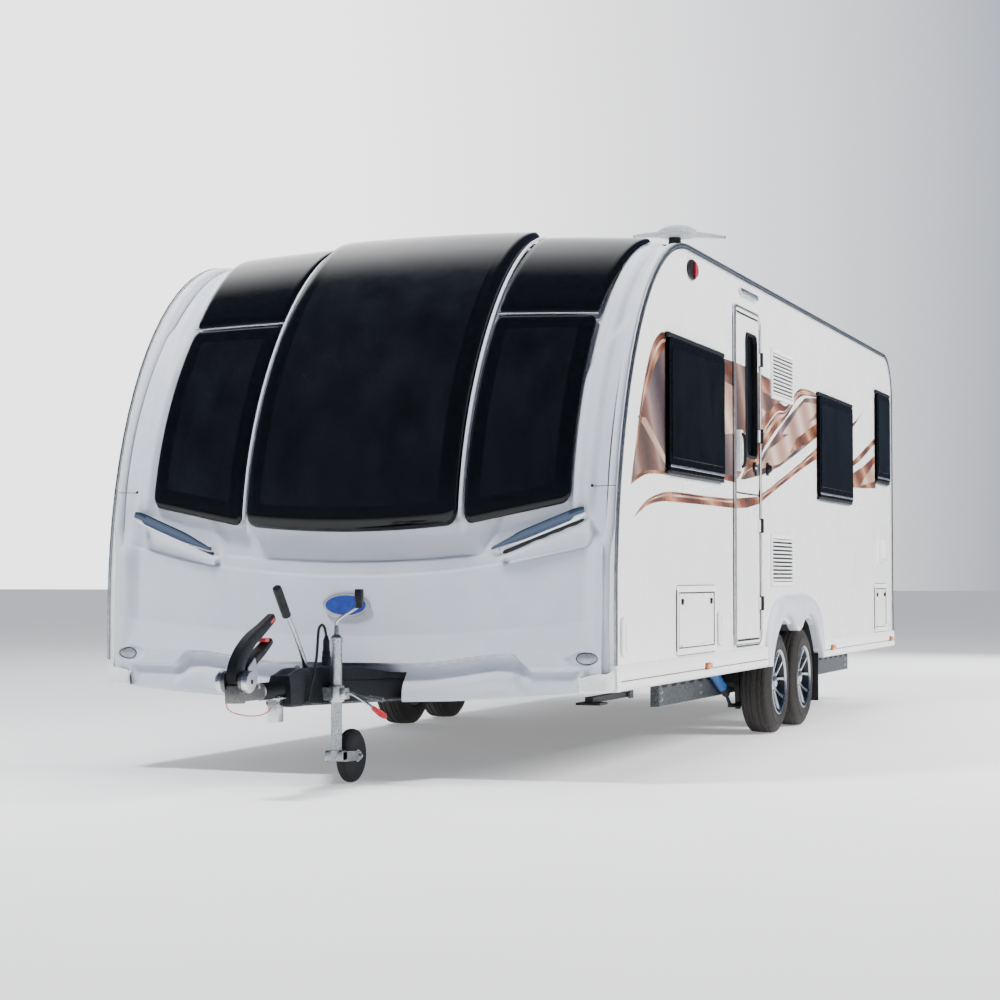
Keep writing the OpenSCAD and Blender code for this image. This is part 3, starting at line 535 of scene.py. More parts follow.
class Part:
    """Gathers shapes, given in design millimetres, into one mesh object."""

    def __init__(self, name, *makes):
        self.name, self.makes = name, makes
        self.verts, self.faces, self.mats = [], [], []
        self.flip = 1
        self.spans = WHOLE_WALL

    def add(self, verts, faces, m=0):
        base = len(self.verts)
        self.verts += [(v[0] * self.flip, v[1], v[2]) for v in verts]
        self.faces += [[base + i for i in f] for f in faces]
        self.mats += [m] * len(faces) if isinstance(m, int) else list(m)

    def grid(self, rows, m=0, wrap=False, skip=None):
        """rows of points, of equal length; m is an index or a function of (row, column)."""
        rows = np.asarray(rows, float)
        n, k = rows.shape[:2]
        faces, mats = [], []
        for i in range(n - 1):
            for j in range(k if wrap else k - 1):
                if skip and skip(i, j):
                    continue
                j2 = (j + 1) % k
                faces.append([i * k + j, i * k + j2, (i + 1) * k + j2, (i + 1) * k + j])
                mats.append(m(i, j) if callable(m) else m)
        self.add(rows.reshape(-1, 3), faces, mats)

    def rings(self, rings, m=0, caps=True):
        rings = np.asarray(rings, float)
        self.grid(rings, m, wrap=True)
        if caps:
            k = rings.shape[1]
            top = m if isinstance(m, int) else m(rings.shape[0] - 2, 0)
            self.add(rings[0], [list(range(k))[::-1]], top if isinstance(m, int) else m(0, 0))
            self.add(rings[-1], [list(range(k))], top)

    def tube(self, points, r, m=0, sides=12, caps=True):
        pts = np.array(points, float)
        rs = r if hasattr(r, "__len__") else [r] * len(pts)
        side = None
        rings = []
        for i, p in enumerate(pts):
            ahead = pts[min(i + 1, len(pts) - 1)] - pts[max(i - 1, 0)]
            ahead = ahead / np.linalg.norm(ahead)
            if side is None:
                side = np.cross(ahead, [0, 0, 1] if abs(ahead[2]) < 0.9 else [1, 0, 0])
            side = side - ahead * np.dot(side, ahead)
            side = side / np.linalg.norm(side)
            up = np.cross(ahead, side)
            rings.append([p + rs[i] * (math.cos(a) * side + math.sin(a) * up)
                          for a in np.linspace(0, 2 * math.pi, sides, endpoint=False)])
        self.rings(rings, m, caps)

    def revolve(self, profile, centre, axis, m=0, steps=40, caps=True):
        """profile is (radius, distance along axis); axis is 0 for x, 1 for d, 2 for z or a direction."""
        direction = np.eye(3)[axis] if isinstance(axis, int) else np.array(axis, float) / np.linalg.norm(axis)
        u = np.cross(direction, [0, 0, 1] if abs(direction[2]) < 0.9 else [1, 0, 0])
        u /= np.linalg.norm(u)
        v = np.cross(direction, u)
        rings = [[np.array(centre) + direction * h + max(r, 0.01) * (math.cos(a) * u + math.sin(a) * v)
                  for a in np.linspace(0, 2 * math.pi, steps, endpoint=False)] for r, h in profile]
        self.rings(rings, m, caps)

    def plate(self, outline, lo, hi, axis, m=0, bevel=0.0):
        """An outline pulled from lo to hi along an axis, with chamfered rims."""
        place = {0: lambda a, b, h: (h, a, b), 1: lambda a, b, h: (a, h, b), 2: lambda a, b, h: (a, b, h)}[axis]
        levels = [(lo, 0), (hi, 0)]
        if bevel:
            levels = [(lo, bevel), (lo + bevel * 0.3, bevel * 0.3), (lo + bevel, 0),
                      (hi - bevel, 0), (hi - bevel * 0.3, bevel * 0.3), (hi, bevel)]
        self.rings([[place(a, b, h) for a, b in (offset(outline, by) if by else outline)] for h, by in levels], m)

    def block(self, lo, hi, m=0, bevel=2.0):
        b = min(bevel, (hi[0] - lo[0]) / 3, (hi[1] - lo[1]) / 3, (hi[2] - lo[2]) / 3)
        self.plate(rounded_rect(lo[0], lo[1], hi[0], hi[1], b, 2), lo[2], hi[2], 2, m, b)

    def bolt(self, centre, axis, r, m=0, sign=1):
        self.revolve([(r * 1.5, 0), (r * 1.5, sign * 2)], centre, axis, m, 20)
        self.revolve([(r, sign * 2), (r, sign * r * 0.8), (r * 0.85, sign * r)], centre, axis, m, 6)

    def done(self, body, slot, replaces=(), sharp=30):
        me = bpy.data.meshes.new(self.name)
        me.from_pydata([at(*v) for v in self.verts], [], self.faces)
        for make in self.makes:
            me.materials.append(mat(make))
        me.polygons.foreach_set("material_index", self.mats)
        me.validate()
        me.shade_smooth()
        me.set_sharp_from_angle(angle=math.radians(sharp))
        ob = bpy.data.objects.new(self.name, me)
        bpy.context.scene.collection.objects.link(ob)
        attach(ob, body)
        if replaces:
            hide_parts(*replaces)
        return ob


def both(part):
    for s in (1, -1):
        part.flip = s
        yield s
    part.flip = 1


def dress(make, *nodes):
    """Gives CAD nodes their finish."""
    for n in nodes:
        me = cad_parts[n].data
        me.materials.clear()
        me.materials.append(mat(make))
        me.shade_smooth()
        me.set_sharp_from_angle(angle=math.radians(28))


# ---- front moulding ----

def bump_line(x, z, points, width, height):
    """A soft ridge along a line of (x, z) points."""
    pts = np.array(points, float)
    best = np.full(np.broadcast(x, z).shape, 1e9)
    for a, b in zip(pts[:-1], pts[1:]):
        ab = b - a
        k = np.clip(((x - a[0]) * ab[0] + (z - a[1]) * ab[1]) / ab.dot(ab), 0, 1)
        best = np.minimum(best, np.hypot(x - a[0] - k * ab[0], z - a[1] - k * ab[1]))
    return height * (1 - smooth(0, width, best))


def front_relief(x, z, s):
    """How far the skin stands off the plain face, in millimetres."""
    ax = np.abs(x)
    out = np.zeros(np.broadcast(x, z).shape)
    out += s["column"] * (smooth(500, 515, ax) - smooth(532, 546, ax)) * smooth(1090, 1130, z)
    out += s["wing"] * smooth(1008, 1060, ax) * (1 - smooth(1090, 1134, ax)) * smooth(1080, 1250, z)
    low_line = 887 + (ax / 800) ** 2 * 70
    out -= 21 * smooth(-8, 8, z - low_line) * (1 - smooth(1070, 1137, ax))
    top_line = 951 + (ax / 620) ** 2 * 31
    out -= 17 * smooth(-7, 7, z - top_line) * (1 - smooth(600, 640, ax - (z - 982) * 0.5))
    out += 9 * smooth(-8, 8, z - (1088 + (ax / 1000) ** 2 * 100)) * (1 - smooth(1040, 1100, ax))
    crease = 622 + (ax / 1130) ** 2 * 78
    mouth = 503 + 47 * smooth(300, 770, ax) - 60 * smooth(775, 862, ax)
    full = 503 + 47 * smooth(300, 770, ax)
    band = np.clip((crease - z) / np.maximum(crease - full, 30), 0, 1)
    out += s["band"] * band * (1 - smooth(1080, 1137, ax) * 0.6)
    # The recess: a sharp brow, then a long floor that comes forward again to the lower lip
    under = mouth - z
    depth = smooth(0, 13, under) * (1 - smooth(18, 128, under))
    out -= s["mouth"] * depth * (1 - 0.6 * smooth(800, 870, ax)) * (1 - smooth(1040, 1100, ax))
    out -= 10 * smooth(0, 60, 440 - z)
    out += bump_line(ax, z, [(560, 398), (700, 446), (830, 400)], 56, 12) * (1 - smooth(840, 900, ax))
    out -= bump_line(ax, z, [(690, 985), (900, 1066), (1084, 1138)], 34, 19)
    lamp = np.hypot((ax - 1090) / 74, (z - 531) / 34)
    out -= 9 * (1 - smooth(0.8, 1.05, lamp))
    out += 3 * (smooth(0.9, 1.1, lamp) - smooth(1.1, 1.35, lamp))
    return out


def relief_sizes(s):
    """The front group's relief heights in millimetres."""
    return {k: getattr(s, k) * 1000 for k in ("column", "wing", "band", "mouth")}


def skin_out(x, z, values):
    """How far the finished moulding stands off the plain face at a width and height."""
    t = t_at(x, z)
    base = face(x, t, 0)
    level = max(float(base[1]) + 3, 0)
    return float(front_relief(np.array(x), np.array(z), values)) + float(
        smooth(1075, 1150, abs(x)) * (1 - smooth(960, 1120, z))) * level


def on_skin(x, z, extra=0.0):
    values = relief_sizes(bpy.context.scene.caravan_front)
    return face(x, t_at(x, z), skin_out(x, z, values) + extra)


class CARAVAN_PG_front(bpy.types.PropertyGroup):
    column: bpy.props.FloatProperty(name="Column", description="Height of the columns between the panes",
                                    default=0.014, unit="LENGTH", subtype="DISTANCE")
    wing: bpy.props.FloatProperty(name="Wing", description="Height of the long swelling beside each corner",
                                  default=0.030, unit="LENGTH", subtype="DISTANCE")
    band: bpy.props.FloatProperty(name="Band", description="How far the lower band swells outwards",
                                  default=0.046, unit="LENGTH", subtype="DISTANCE")
    mouth: bpy.props.FloatProperty(name="Mouth", description="Depth of the recess above the lower lip",
                                   default=0.070, unit="LENGTH", subtype="DISTANCE")
    pane_proud: bpy.props.FloatProperty(name="Pane", description="How proud the centre pane stands",
                                        default=0.050, unit="LENGTH", subtype="DISTANCE")


class CARAVAN_PG_running(bpy.types.PropertyGroup):
    tread_depth: bpy.props.FloatProperty(name="Tread", description="Depth of the tyres' grooves",
                                         default=0.006, unit="LENGTH", subtype="DISTANCE")
    spokes: bpy.props.IntProperty(name="Spokes", description="Pairs of spokes in each wheel", default=5, min=3,
                                  max=9)


class CARAVAN_PG_stage(bpy.types.PropertyGroup):
    floor_size: bpy.props.FloatProperty(name="Floor", description="Width of the studio floor",
                                        default=300.0, unit="LENGTH", subtype="DISTANCE")
    key_energy: bpy.props.FloatProperty(name="Key", description="Power of the key light", default=3200.0,
                                        unit="POWER")


# Sections of the front's rounded corners, (across, inwards), below and above the waist
CORNER_LOW = [(0, 62), (-2, 44), (-8, 26), (-18, 12), (-32, 3), (-48, 0), (-66, 0), (-80, 2), (-98, 6), (-104, 60)]
CORNER_HIGH = [(0, 30), (-1, 20), (-4, 11), (-10, 4), (-18, 0), (-28, 0), (-36, 4), (-42, 13), (-45, 44), (-46, 95)]


def front_skin(s):
    part = Part("front_moulding", gelcoat_with_painted_shade, shadow_gap)
    xs = np.linspace(-FACE_HALF - 40, FACE_HALF + 40, 261)
    ts = np.concatenate([np.linspace(-1, 0, 140), np.linspace(0, 1, 80)[1:]])
    x, t = np.meshgrid(xs, ts)
    z = face_curve(x, t)[1]
    values = relief_sizes(s)
    out = front_relief(x, z, values)
    low = 1 - smooth(960, 1120, z)
    base = face(x, t, 0)
    level = np.maximum(base[..., 1] + 3, 0)
    out = out + smooth(1075, 1150, np.abs(x)) * low * level
    notch = np.abs(x) < 286
    pts = face(x, t, out)
    part.grid(pts, 0, skip=lambda i, j: notch[i, j] and notch[i, j + 1] and z[i + 1, j] < 468)
    # Underside lip and returns of the opening for the drawbar
    lip_row = pts[0]
    keep = [j for j in range(len(xs)) if abs(xs[j]) >= 280]
    for side in (-1, 1):
        cols = [j for j in keep if xs[j] * side > 0]
        row = lip_row[cols]
        part.grid([row, row + [0, 10, -8], row + [0, 60, -6], row + [0, 120, 20]], 0)
    for _ in both(part):
        stations = np.concatenate([np.linspace(-1, 0, 30)[:-1], np.linspace(0, 1, 70)])
        rings = []
        for q in stations:
            if q < 0:
                d, zz = 0.0, NOSE_Z + q * (NOSE_Z - SKIRT_Z)
                nd, nz = 1.0, 0.0
            else:
                d, zz = nose(q)
                d2, z2 = nose(min(q + 0.002, 1))
                d1, z1 = nose(max(q - 0.002, 0))
                nd, nz = z2 - z1, -(d2 - d1)
                length = math.hypot(nd, nz)
                nd, nz = nd / length, nz / length
            up = float(smooth(960, 1120, zz))
            ring = []
            for (xl, il), (xu, iu) in zip(CORNER_LOW, CORNER_HIGH):
                across, inset = xl + (xu - xl) * up, il + (iu - il) * up
                ring.append((HALF_W - 1 + across, d + nd * inset, zz + nz * inset))
            rings.append(ring)
        part.grid(rings, 0)
    return part.done("caravan", "gelcoat_front", ["front_panel"], 38)


def pane(part, x0, x1, t0, t1, proud, radius, n=(24, 40), side_bow=0.0, widen=0.0):
    """A curved pane with round corners and rolled edges; t0 and t1 are heights at both ends."""
    rows, border = [], []
    length = 1450 * (sum(t1) - sum(t0)) / 2
    width = x1 - x0
    us = np.unique(np.concatenate([[0, 0.006, 0.02, 0.05], np.linspace(0.08, 0.92, n[0]), [0.95, 0.98, 0.994, 1]]))
    vs = np.unique(np.concatenate([[0, 0.004, 0.012, 0.03], np.linspace(0.05, 0.95, n[1]),
                                   [0.97, 0.988, 0.996, 1]]))
    for v in vs:
        e = min(v, 1 - v) * length
        shrink = radius - math.sqrt(max(radius ** 2 - (radius - min(e, radius)) ** 2, 0))
        a, b = x0 + shrink, x1 - shrink + widen * v
        row, flags = [], []
        for u in us:
            x = a + (b - a) * u
            k = (x - x0) / width
            lo = t0[0] + (t0[1] - t0[0]) * k - side_bow * 4 * k * (1 - k)
            hi = t1[0] + (t1[1] - t1[0]) * k
            t = lo + (hi - lo) * v
            gap = min(e, min(u, 1 - u) * (b - a))
            roll = 1 - (1 - min(gap / 16, 1)) ** 2
            row.append(face(x, t, proud * (0.15 + 0.85 * roll)))
            flags.append(gap < 60)
        rows.append(row)
        border.append(flags)
    part.grid(rows, lambda i, j: 1 if border[i][j] or border[i + 1][j + 1] else 0)


def front_glazing(s):
    part = Part("front_glazing", tinted_acrylic, glazing_border)
    pane(part, -512, 512, (0.037, 0.037), (0.965, 0.965), s.pane_proud * 1000, 44, side_bow=0.013)
    for _ in both(part):
        pane(part, 538, 1020, (0.036, 0.080), (0.5125, 0.5125), 17, 40)
    part.done("caravan", "tinted_acrylic", ["front_windows"], 50)
    top = Part("front_roof_glazing", glazing_border, glazing_border)
    for _ in both(top):
        pane(top, 540, 1020, (0.5215, 0.5215), (0.955, 0.935), 22, 20, widen=60)
    top.done("caravan", "tinted_acrylic", ["front_roof_panels"], 50)
    trim = Part("front_glazing_trim", zinc_steel, gelcoat_with_painted_shade, shadow_gap)
    for _ in both(trim):
        line = [face(x, 0.517, 9) for x in np.linspace(545, 1018, 24)]
        trim.tube(line, 6, 0, 8)
        seam = [on_skin(x, 1276, 0.6) for x in np.linspace(1118, 1136, 3)]
        trim.tube(seam + [np.array((HALF_W - 40, 18, 1276)), np.array((HALF_W - 20, 20, 1276)),
                          np.array((HALF_W - 2, 44, 1276))], 1.6, 2, 6)
        trim.revolve([(7, 0), (6, -3), (0, -4)], on_skin(1112, 1276, 1), 1, 2, 16)
        edge = [face(525, t, 18) for t in np.linspace(0.05, 0.95, 70)]
        trim.tube(edge, 8, 1, 8)
    trim.done("caravan", "gelcoat_front")


def front_hardware():
    bars = Part("grab_bars", chrome, shadow_gap)
    for _ in both(bars):
        a, b = np.array((680, -30, 1004)), np.array((1096, 0, 1170))
        n, rings = 18, []
        for i in range(n + 1):
            k = i / n
            p = a + (b - a) * k
            p = p + np.array((0, 16 * (k - 0.5) ** 2, 0))
            tall = (11 + 14 * smooth(0, 0.4, k)) * (0.62 + 0.38 * min(1, 14 * k, 14 * (1 - k)))
            deep = 9 * (0.4 + 0.6 * min(1, 6 * k, 6 * (1 - k)))
            shape = [(-1, -.35), (-.75, -.9), (.1, -1), (.8, -.6), (1, 0), (.8, .8), (0, 1), (-.8, .8)]
            rings.append([p + np.array((-0.3 * tall * q, deep * w, tall * q)) for q, w in shape])
        bars.rings(rings, 0)
        for p in (a + (b - a) * 0.04, a + (b - a) * 0.96):
            bars.block(p + [-13, 6, -11], p + [13, 42, 11], 0, 4)
        pocket = [on_skin(x, 1011 + (x - 695) * 0.396 - 24, 1) for x in np.linspace(706, 1072, 40)]
        bars.tube(pocket, [4] + [9] * 38 + [4], 1, 8)
    bars.done("caravan", "chrome", ["grab_handles"])
    badge = Part("badge", blue_enamel, zinc_steel)
    oval = [(-5 + 112 * math.cos(a), 758 + 56 * math.sin(a))
            for a in np.linspace(0, 2 * math.pi, 64, endpoint=False)]
    y = float(on_skin(0, 758)[1]) - 8
    badge.plate(oval, y - 9, y + 16, 1, 1, 3)
    inner = [(-5 + 98 * math.cos(a), 758 + 44 * math.sin(a))
             for a in np.linspace(0, 2 * math.pi, 64, endpoint=False)]
    badge.plate(inner, y - 12, y - 5, 1, 0, 3)
    badge.done("caravan", "gelcoat_front")


# ---- walls ----

ARC_OUT = [(264, 1291), (290, 1355), (356, 1506), (436, 1690), (531, 1841), (628, 1949), (755, 2012), (840, 2018)]
ARC_IN = [(840, 1951), (726, 1902), (600, 1802), (490, 1680), (422, 1570), (356, 1462), (296, 1347), (272, 1299)]
STRIPE_TOP = [(315, 1150), (488, 1222), (708, 1264), (952, 1283), (1690, 1286), (2180, 1295), (2714, 1330),
              (3254, 1439), (3797, 1561), (4285, 1680)]
STRIPE_LOW = [(315, 1148), (515, 1204), (736, 1230), (952, 1236), (1690, 1242), (2180, 1244), (2440, 1254),
              (2713, 1284), (3254, 1401), (3796, 1517), (4285, 1612)]
DIAG_LOW = [(2292, 1397), (2443, 1450), (2756, 1518), (2838, 1568), (3130, 1688), (3436, 1803), (3711, 1921),
            (3947, 1968), (4285, 1985)]
DIAG_UP = [(2444, 1502), (2759, 1701), (3175, 1870), (3437, 1875), (3805, 2003), (4285, 2012)]


def clip(outline, lo, hi):
    """The part of an outline that lies between two distances along the wall."""
    for limit, sign in ((lo, 1), (hi, -1)):
        kept = []
        for a, b in zip(outline, outline[1:] + outline[:1]):
            ka, kb = (a[0] - limit) * sign, (b[0] - limit) * sign
            if ka >= 0:
                kept.append(a)
            if ka * kb < 0:
                kept.append((limit, a[1] + (b[1] - a[1]) * ka / (ka - kb)))
        outline = kept
    return outline


def decal(part, outline, m, out=0.8):
    for lo, hi in part.spans:
        piece = clip([tuple(p) for p in outline], lo, hi)
        if len(piece) > 2:
            part.add([(HALF_W + out, d, z) for d, z in piece], [list(range(len(piece)))], m)


def ribbon(part, upper, lower, m, out, n=60, pick=(0.0, 1.0)):
    """A strip between two lines, from share pick[0] to pick[1] of its width."""
    a, b = even(upper, n, 10), even(lower, n, 10)
    p, q = b + (a - b) * pick[0], b + (a - b) * pick[1]
    for j in range(n - 1):
        decal(part, [p[j], p[j + 1], q[j + 1], q[j]], m, out)


def wall_graphics():
    art = Part("wall_graphics", copper_print, dusk_print, pale_print, wall_skin)
    for s in both(art):
        art.spans = BESIDE_DOOR if s > 0 else WHOLE_WALL
        field = [(p[0], p[1]) for p in spline([(a, b, 0) for a, b in ARC_IN[::-1]], 6)]
        decal(art, field + [(900, 1951), (900, 1368), (822, 1368), (556, 1358), (382, 1332)], 1, 0.4)
        decal(art, [(356, 1600), (470, 1560), (840, 1400), (840, 1440), (500, 1600)], 2, 0.6)
        ribbon(art, ARC_OUT, ARC_IN[::-1], 0, 0.8)
        ribbon(art, ARC_OUT, ARC_IN[::-1], 2, 1.0, pick=(0.42, 0.6))
        ribbon(art, [(272, 1298), (381, 1340), (556, 1366), (900, 1378)],
               [(266, 1290), (381, 1320), (556, 1350), (900, 1360)], 0, 0.9)
        decal(art, [(1800, 2004), (2189, 2010), (2723, 2002), (3050, 1990), (3574, 1972), (3642, 1936),
                    (3175, 1870), (2759, 1701), (2444, 1502), (2218, 1396), (2037, 1382), (1800, 1396)], 1, 0.4)
        decal(art, [(1800, 1900), (2300, 1870), (2900, 1800), (2700, 1700), (2200, 1640), (1800, 1600)], 2, 0.5)
        decal(art, [(1800, 1990), (2723, 1985), (3500, 1955), (3000, 1900), (2300, 1930), (1800, 1920)], 0, 0.6)
        ribbon(art, [(1800, 1425), (2037, 1410), (2218, 1422), (2470, 1540)],
               [(1800, 1392), (2037, 1380), (2218, 1392), (2470, 1500)], 0, 0.7)
        decal(art, [(2292, 1402), (2367, 1401), (2836, 1449), (3256, 1515), (3798, 1631), (4285, 1745),
                    (4285, 1985), (3947, 1960), (3436, 1800), (2838, 1565), (2443, 1450)], 1, 0.5)
        decal(art, [(2700, 1470), (3256, 1530), (3900, 1690), (4285, 1800), (4285, 1860), (3600, 1740),
                    (3000, 1600)], 2, 0.6)
        decal(art, [(3300, 1700), (3800, 1740), (4285, 1900), (4285, 1950), (3900, 1930)], 2, 0.65)
        decal(art, [(3500, 1600), (4285, 1745), (4285, 1830), (3700, 1700)], 0, 0.7)
        ribbon(art, DIAG_UP, DIAG_LOW, 0, 0.9)
        ribbon(art, DIAG_UP, DIAG_LOW, 3, 1.1, pick=(0.0, 0.12))
        ribbon(art, DIAG_UP, DIAG_LOW, 2, 1.1, pick=(0.40, 0.55))
        ribbon(art, DIAG_UP, DIAG_LOW, 3, 1.1, pick=(0.66, 0.70))
        ribbon(art, STRIPE_TOP, STRIPE_LOW, 0, 0.9, 90)
        ribbon(art, STRIPE_TOP, STRIPE_LOW, 2, 1.0, 90, (0.55, 0.75))
        decal(art, [(5360, 1880), (5613, 1945), (5828, 2010), (5600, 1925), (5360, 1850)], 0, 0.9)
        ribbon(art, [(5360, 1632), (5789, 1735), (6310, 1868)], [(5360, 1600), (5788, 1690), (6310, 1830)], 0,
               0.9, 20)
        decal(art, [(5360, 1480), (5360, 1560), (5849, 1642), (6310, 1745), (6310, 1510), (5845, 1492)], 0, 0.7)
        decal(art, [(5700, 1500), (6310, 1700), (6310, 1560)], 2, 0.8)
    art.done("caravan", "wall_skin")


def side_glazing():
    part = Part("side_glazing", side_acrylic, side_border, black_plastic, zinc_steel)
    for _ in both(part):
        for d, z, w, h in ((826, 1374, 1062, 632), (4278, 1374, 1092, 632), (6270, 1560, 530, 622)):
            part.plate(rounded_rect(d, z, d + w, z + h, 42), HALF_W + 1, HALF_W + 22, 0, 1, 5)
            part.plate(rounded_rect(d + 42, z + 66, d + w - 42, z + h - 52, 30), HALF_W + 20, HALF_W + 24.5, 0, 0,
                       2.5)
            part.plate(rounded_rect(d - 6, z + h - 6, d + w + 6, z + h + 20, 9), HALF_W, HALF_W + 20, 0, 2, 5)
            part.plate(rounded_rect(d + 20, z + 22, d + w - 20, z + 34, 5), HALF_W + 20, HALF_W + 26, 0, 3, 2)
            part.plate(rounded_rect(d - 4, z - 12, d + w + 4, z + 8, 8), HALF_W, HALF_W + 17, 0, 2, 4)
            part.plate(rounded_rect(d + 60, z - 22, d + w - 60, z - 10, 5), HALF_W, HALF_W + 9, 0, 3, 2)
    part.done("caravan", "tinted_acrylic", ["side_windows"])


def edge_rails():
    part = Part("edge_rails", anodised, shadow_gap)
    s_values = np.linspace(0, 1, 60)
    for _ in both(part):
        for inset, r, m in ((3, 3.6, 0), (9, 2.6, 1), (19, 3.2, 0), (25, 2.4, 1)):
            line = [(inset, SKIRT_TOP + 1)] + [nose(s, inset) for s in s_values]
            line += [(BODY_L - TAIL_R + (TAIL_R - inset) * math.sin(a), RAIL_Z - TAIL_R
                      + (TAIL_R - inset) * math.cos(a))
                     for a in np.linspace(0.02, math.pi / 2, 20)]
            line += [(BODY_L - inset, SKIRT_TOP + 1)]
            part.tube([(HALF_W + (6 if m == 0 else 9), d, z) for d, z in line], r, m, 8)
    part.done("caravan", "rail_aluminium")


def door_details():
    up = Part("door_upper_trim", black_plastic, chrome, shadow_gap, zinc_steel, dusk_print, copper_print,
              pale_print)
    for m, outline in (
            (4, [(2178, 1392), (2230, 1400), (2403, 1484), (2403, 2007), (2178, 2009)]),
            (4, [(2403, 1484), (2444, 1502), (2470, 1519), (2403, 1519)]),
            (4, [(2663, 1645), (2718, 1684), (2718, 2002), (2663, 2003)]),
            (5, [(2292, 1397), (2443, 1450), (2663, 1499), (2663, 1519), (2470, 1519), (2444, 1502)]),
            (5, [(2663, 1499), (2718, 1511), (2718, 1677), (2663, 1642)]),
            (4, [(2292, 1400), (2367, 1401), (2718, 1437), (2718, 1508), (2443, 1448)]),
            (6, [(2178, 1440), (2403, 1560), (2403, 1660), (2178, 1520)])):
        decal(up, outline, m, 3.7 + 0.25 * (m - 4))
    d0, d1, z0, z1 = 2174, 2722, 1334, 2276
    up.plate(rounded_rect(d0 + 24, 1440, d0 + 82, 1656, 24), HALF_W + 5, HALF_W + 24, 0, 0, 6)
    up.tube(spline([(HALF_W + 22, d0 + 52, 1462), (HALF_W + 42, d0 + 52, 1480), (HALF_W + 42, d0 + 52, 1610),
                    (HALF_W + 22, d0 + 52, 1636)], 6), 9, 0, 10)
    up.revolve([(28, 0), (28, 8), (22, 12)], (HALF_W + 5, 2590, 1478), 0, 0, 28)
    up.revolve([(14, 12), (13, 17), (9, 19)], (HALF_W + 5, 2590, 1478), 0, 1, 20)
    up.block((HALF_W + 8, 2584, 1430), (HALF_W + 20, 2598, 1468), 0, 4)
    for z in (1613, 2031):
        up.revolve([(11, 0), (11, 77)], (HALF_W + 18, d1 - 2, z), 2, 0, 16)
    ring = rounded_rect(2403, 1519, 2663, 2197, 48)
    hole = rounded_rect(2419, 1535, 2647, 2181, 40)
    rows = ((ring, 4), (offset(ring, 3).tolist(), 11), (hole, 11), (hole, -16))
    up.grid([[(HALF_W + out, d, z) for d, z in line + line[:1]] for line, out in rows], 0)
    up.done("door_upper_leaf", "black_plastic")
    low = Part("door_lower_trim", black_plastic, copper_print)
    decal(low, [(2178, 1244), (2440, 1254), (2718, 1284), (2718, 1320), (2650, 1320), (2180, 1295)], 1, 3.7)
    for z in (704, 1125):
        low.revolve([(11, 0), (11, 77)], (HALF_W + 18, d1 - 2, z), 2, 0, 16)
    low.done("door_lower_leaf", "black_plastic")
    rim = Part("door_surround", anodised, shadow_gap, black_plastic, white_plastic)
    for r, out, wide, m in ((2137, 8, 9, 1), (2145, 11, 8, 0), (2166, 8, 11, 1)):
        gap = r - 2138
        line = rounded_rect(2138 + gap, 522 + gap, 2758 - gap, 2312 - gap, max(70 - gap, 12), 6)
        rim.tube([(HALF_W + out - wide / 2, d, z) for d, z in line + line[:1]], wide / 2, m, 6, caps=False)
    rim.tube([(HALF_W + 10, 2141, z) for z in (530, 2304)], 9, 0, 10)
    rim.plate(rounded_rect(2895, 1445, 2945, 1520, 20), HALF_W + 1, HALF_W + 10, 0, 2, 4)
    rim.revolve([(24, 0), (24, 10), (16, 22), (0, 25)], (HALF_W + 6, 2921, 1484), 0, 2, 24)
    rim.done("caravan", "white_plastic")


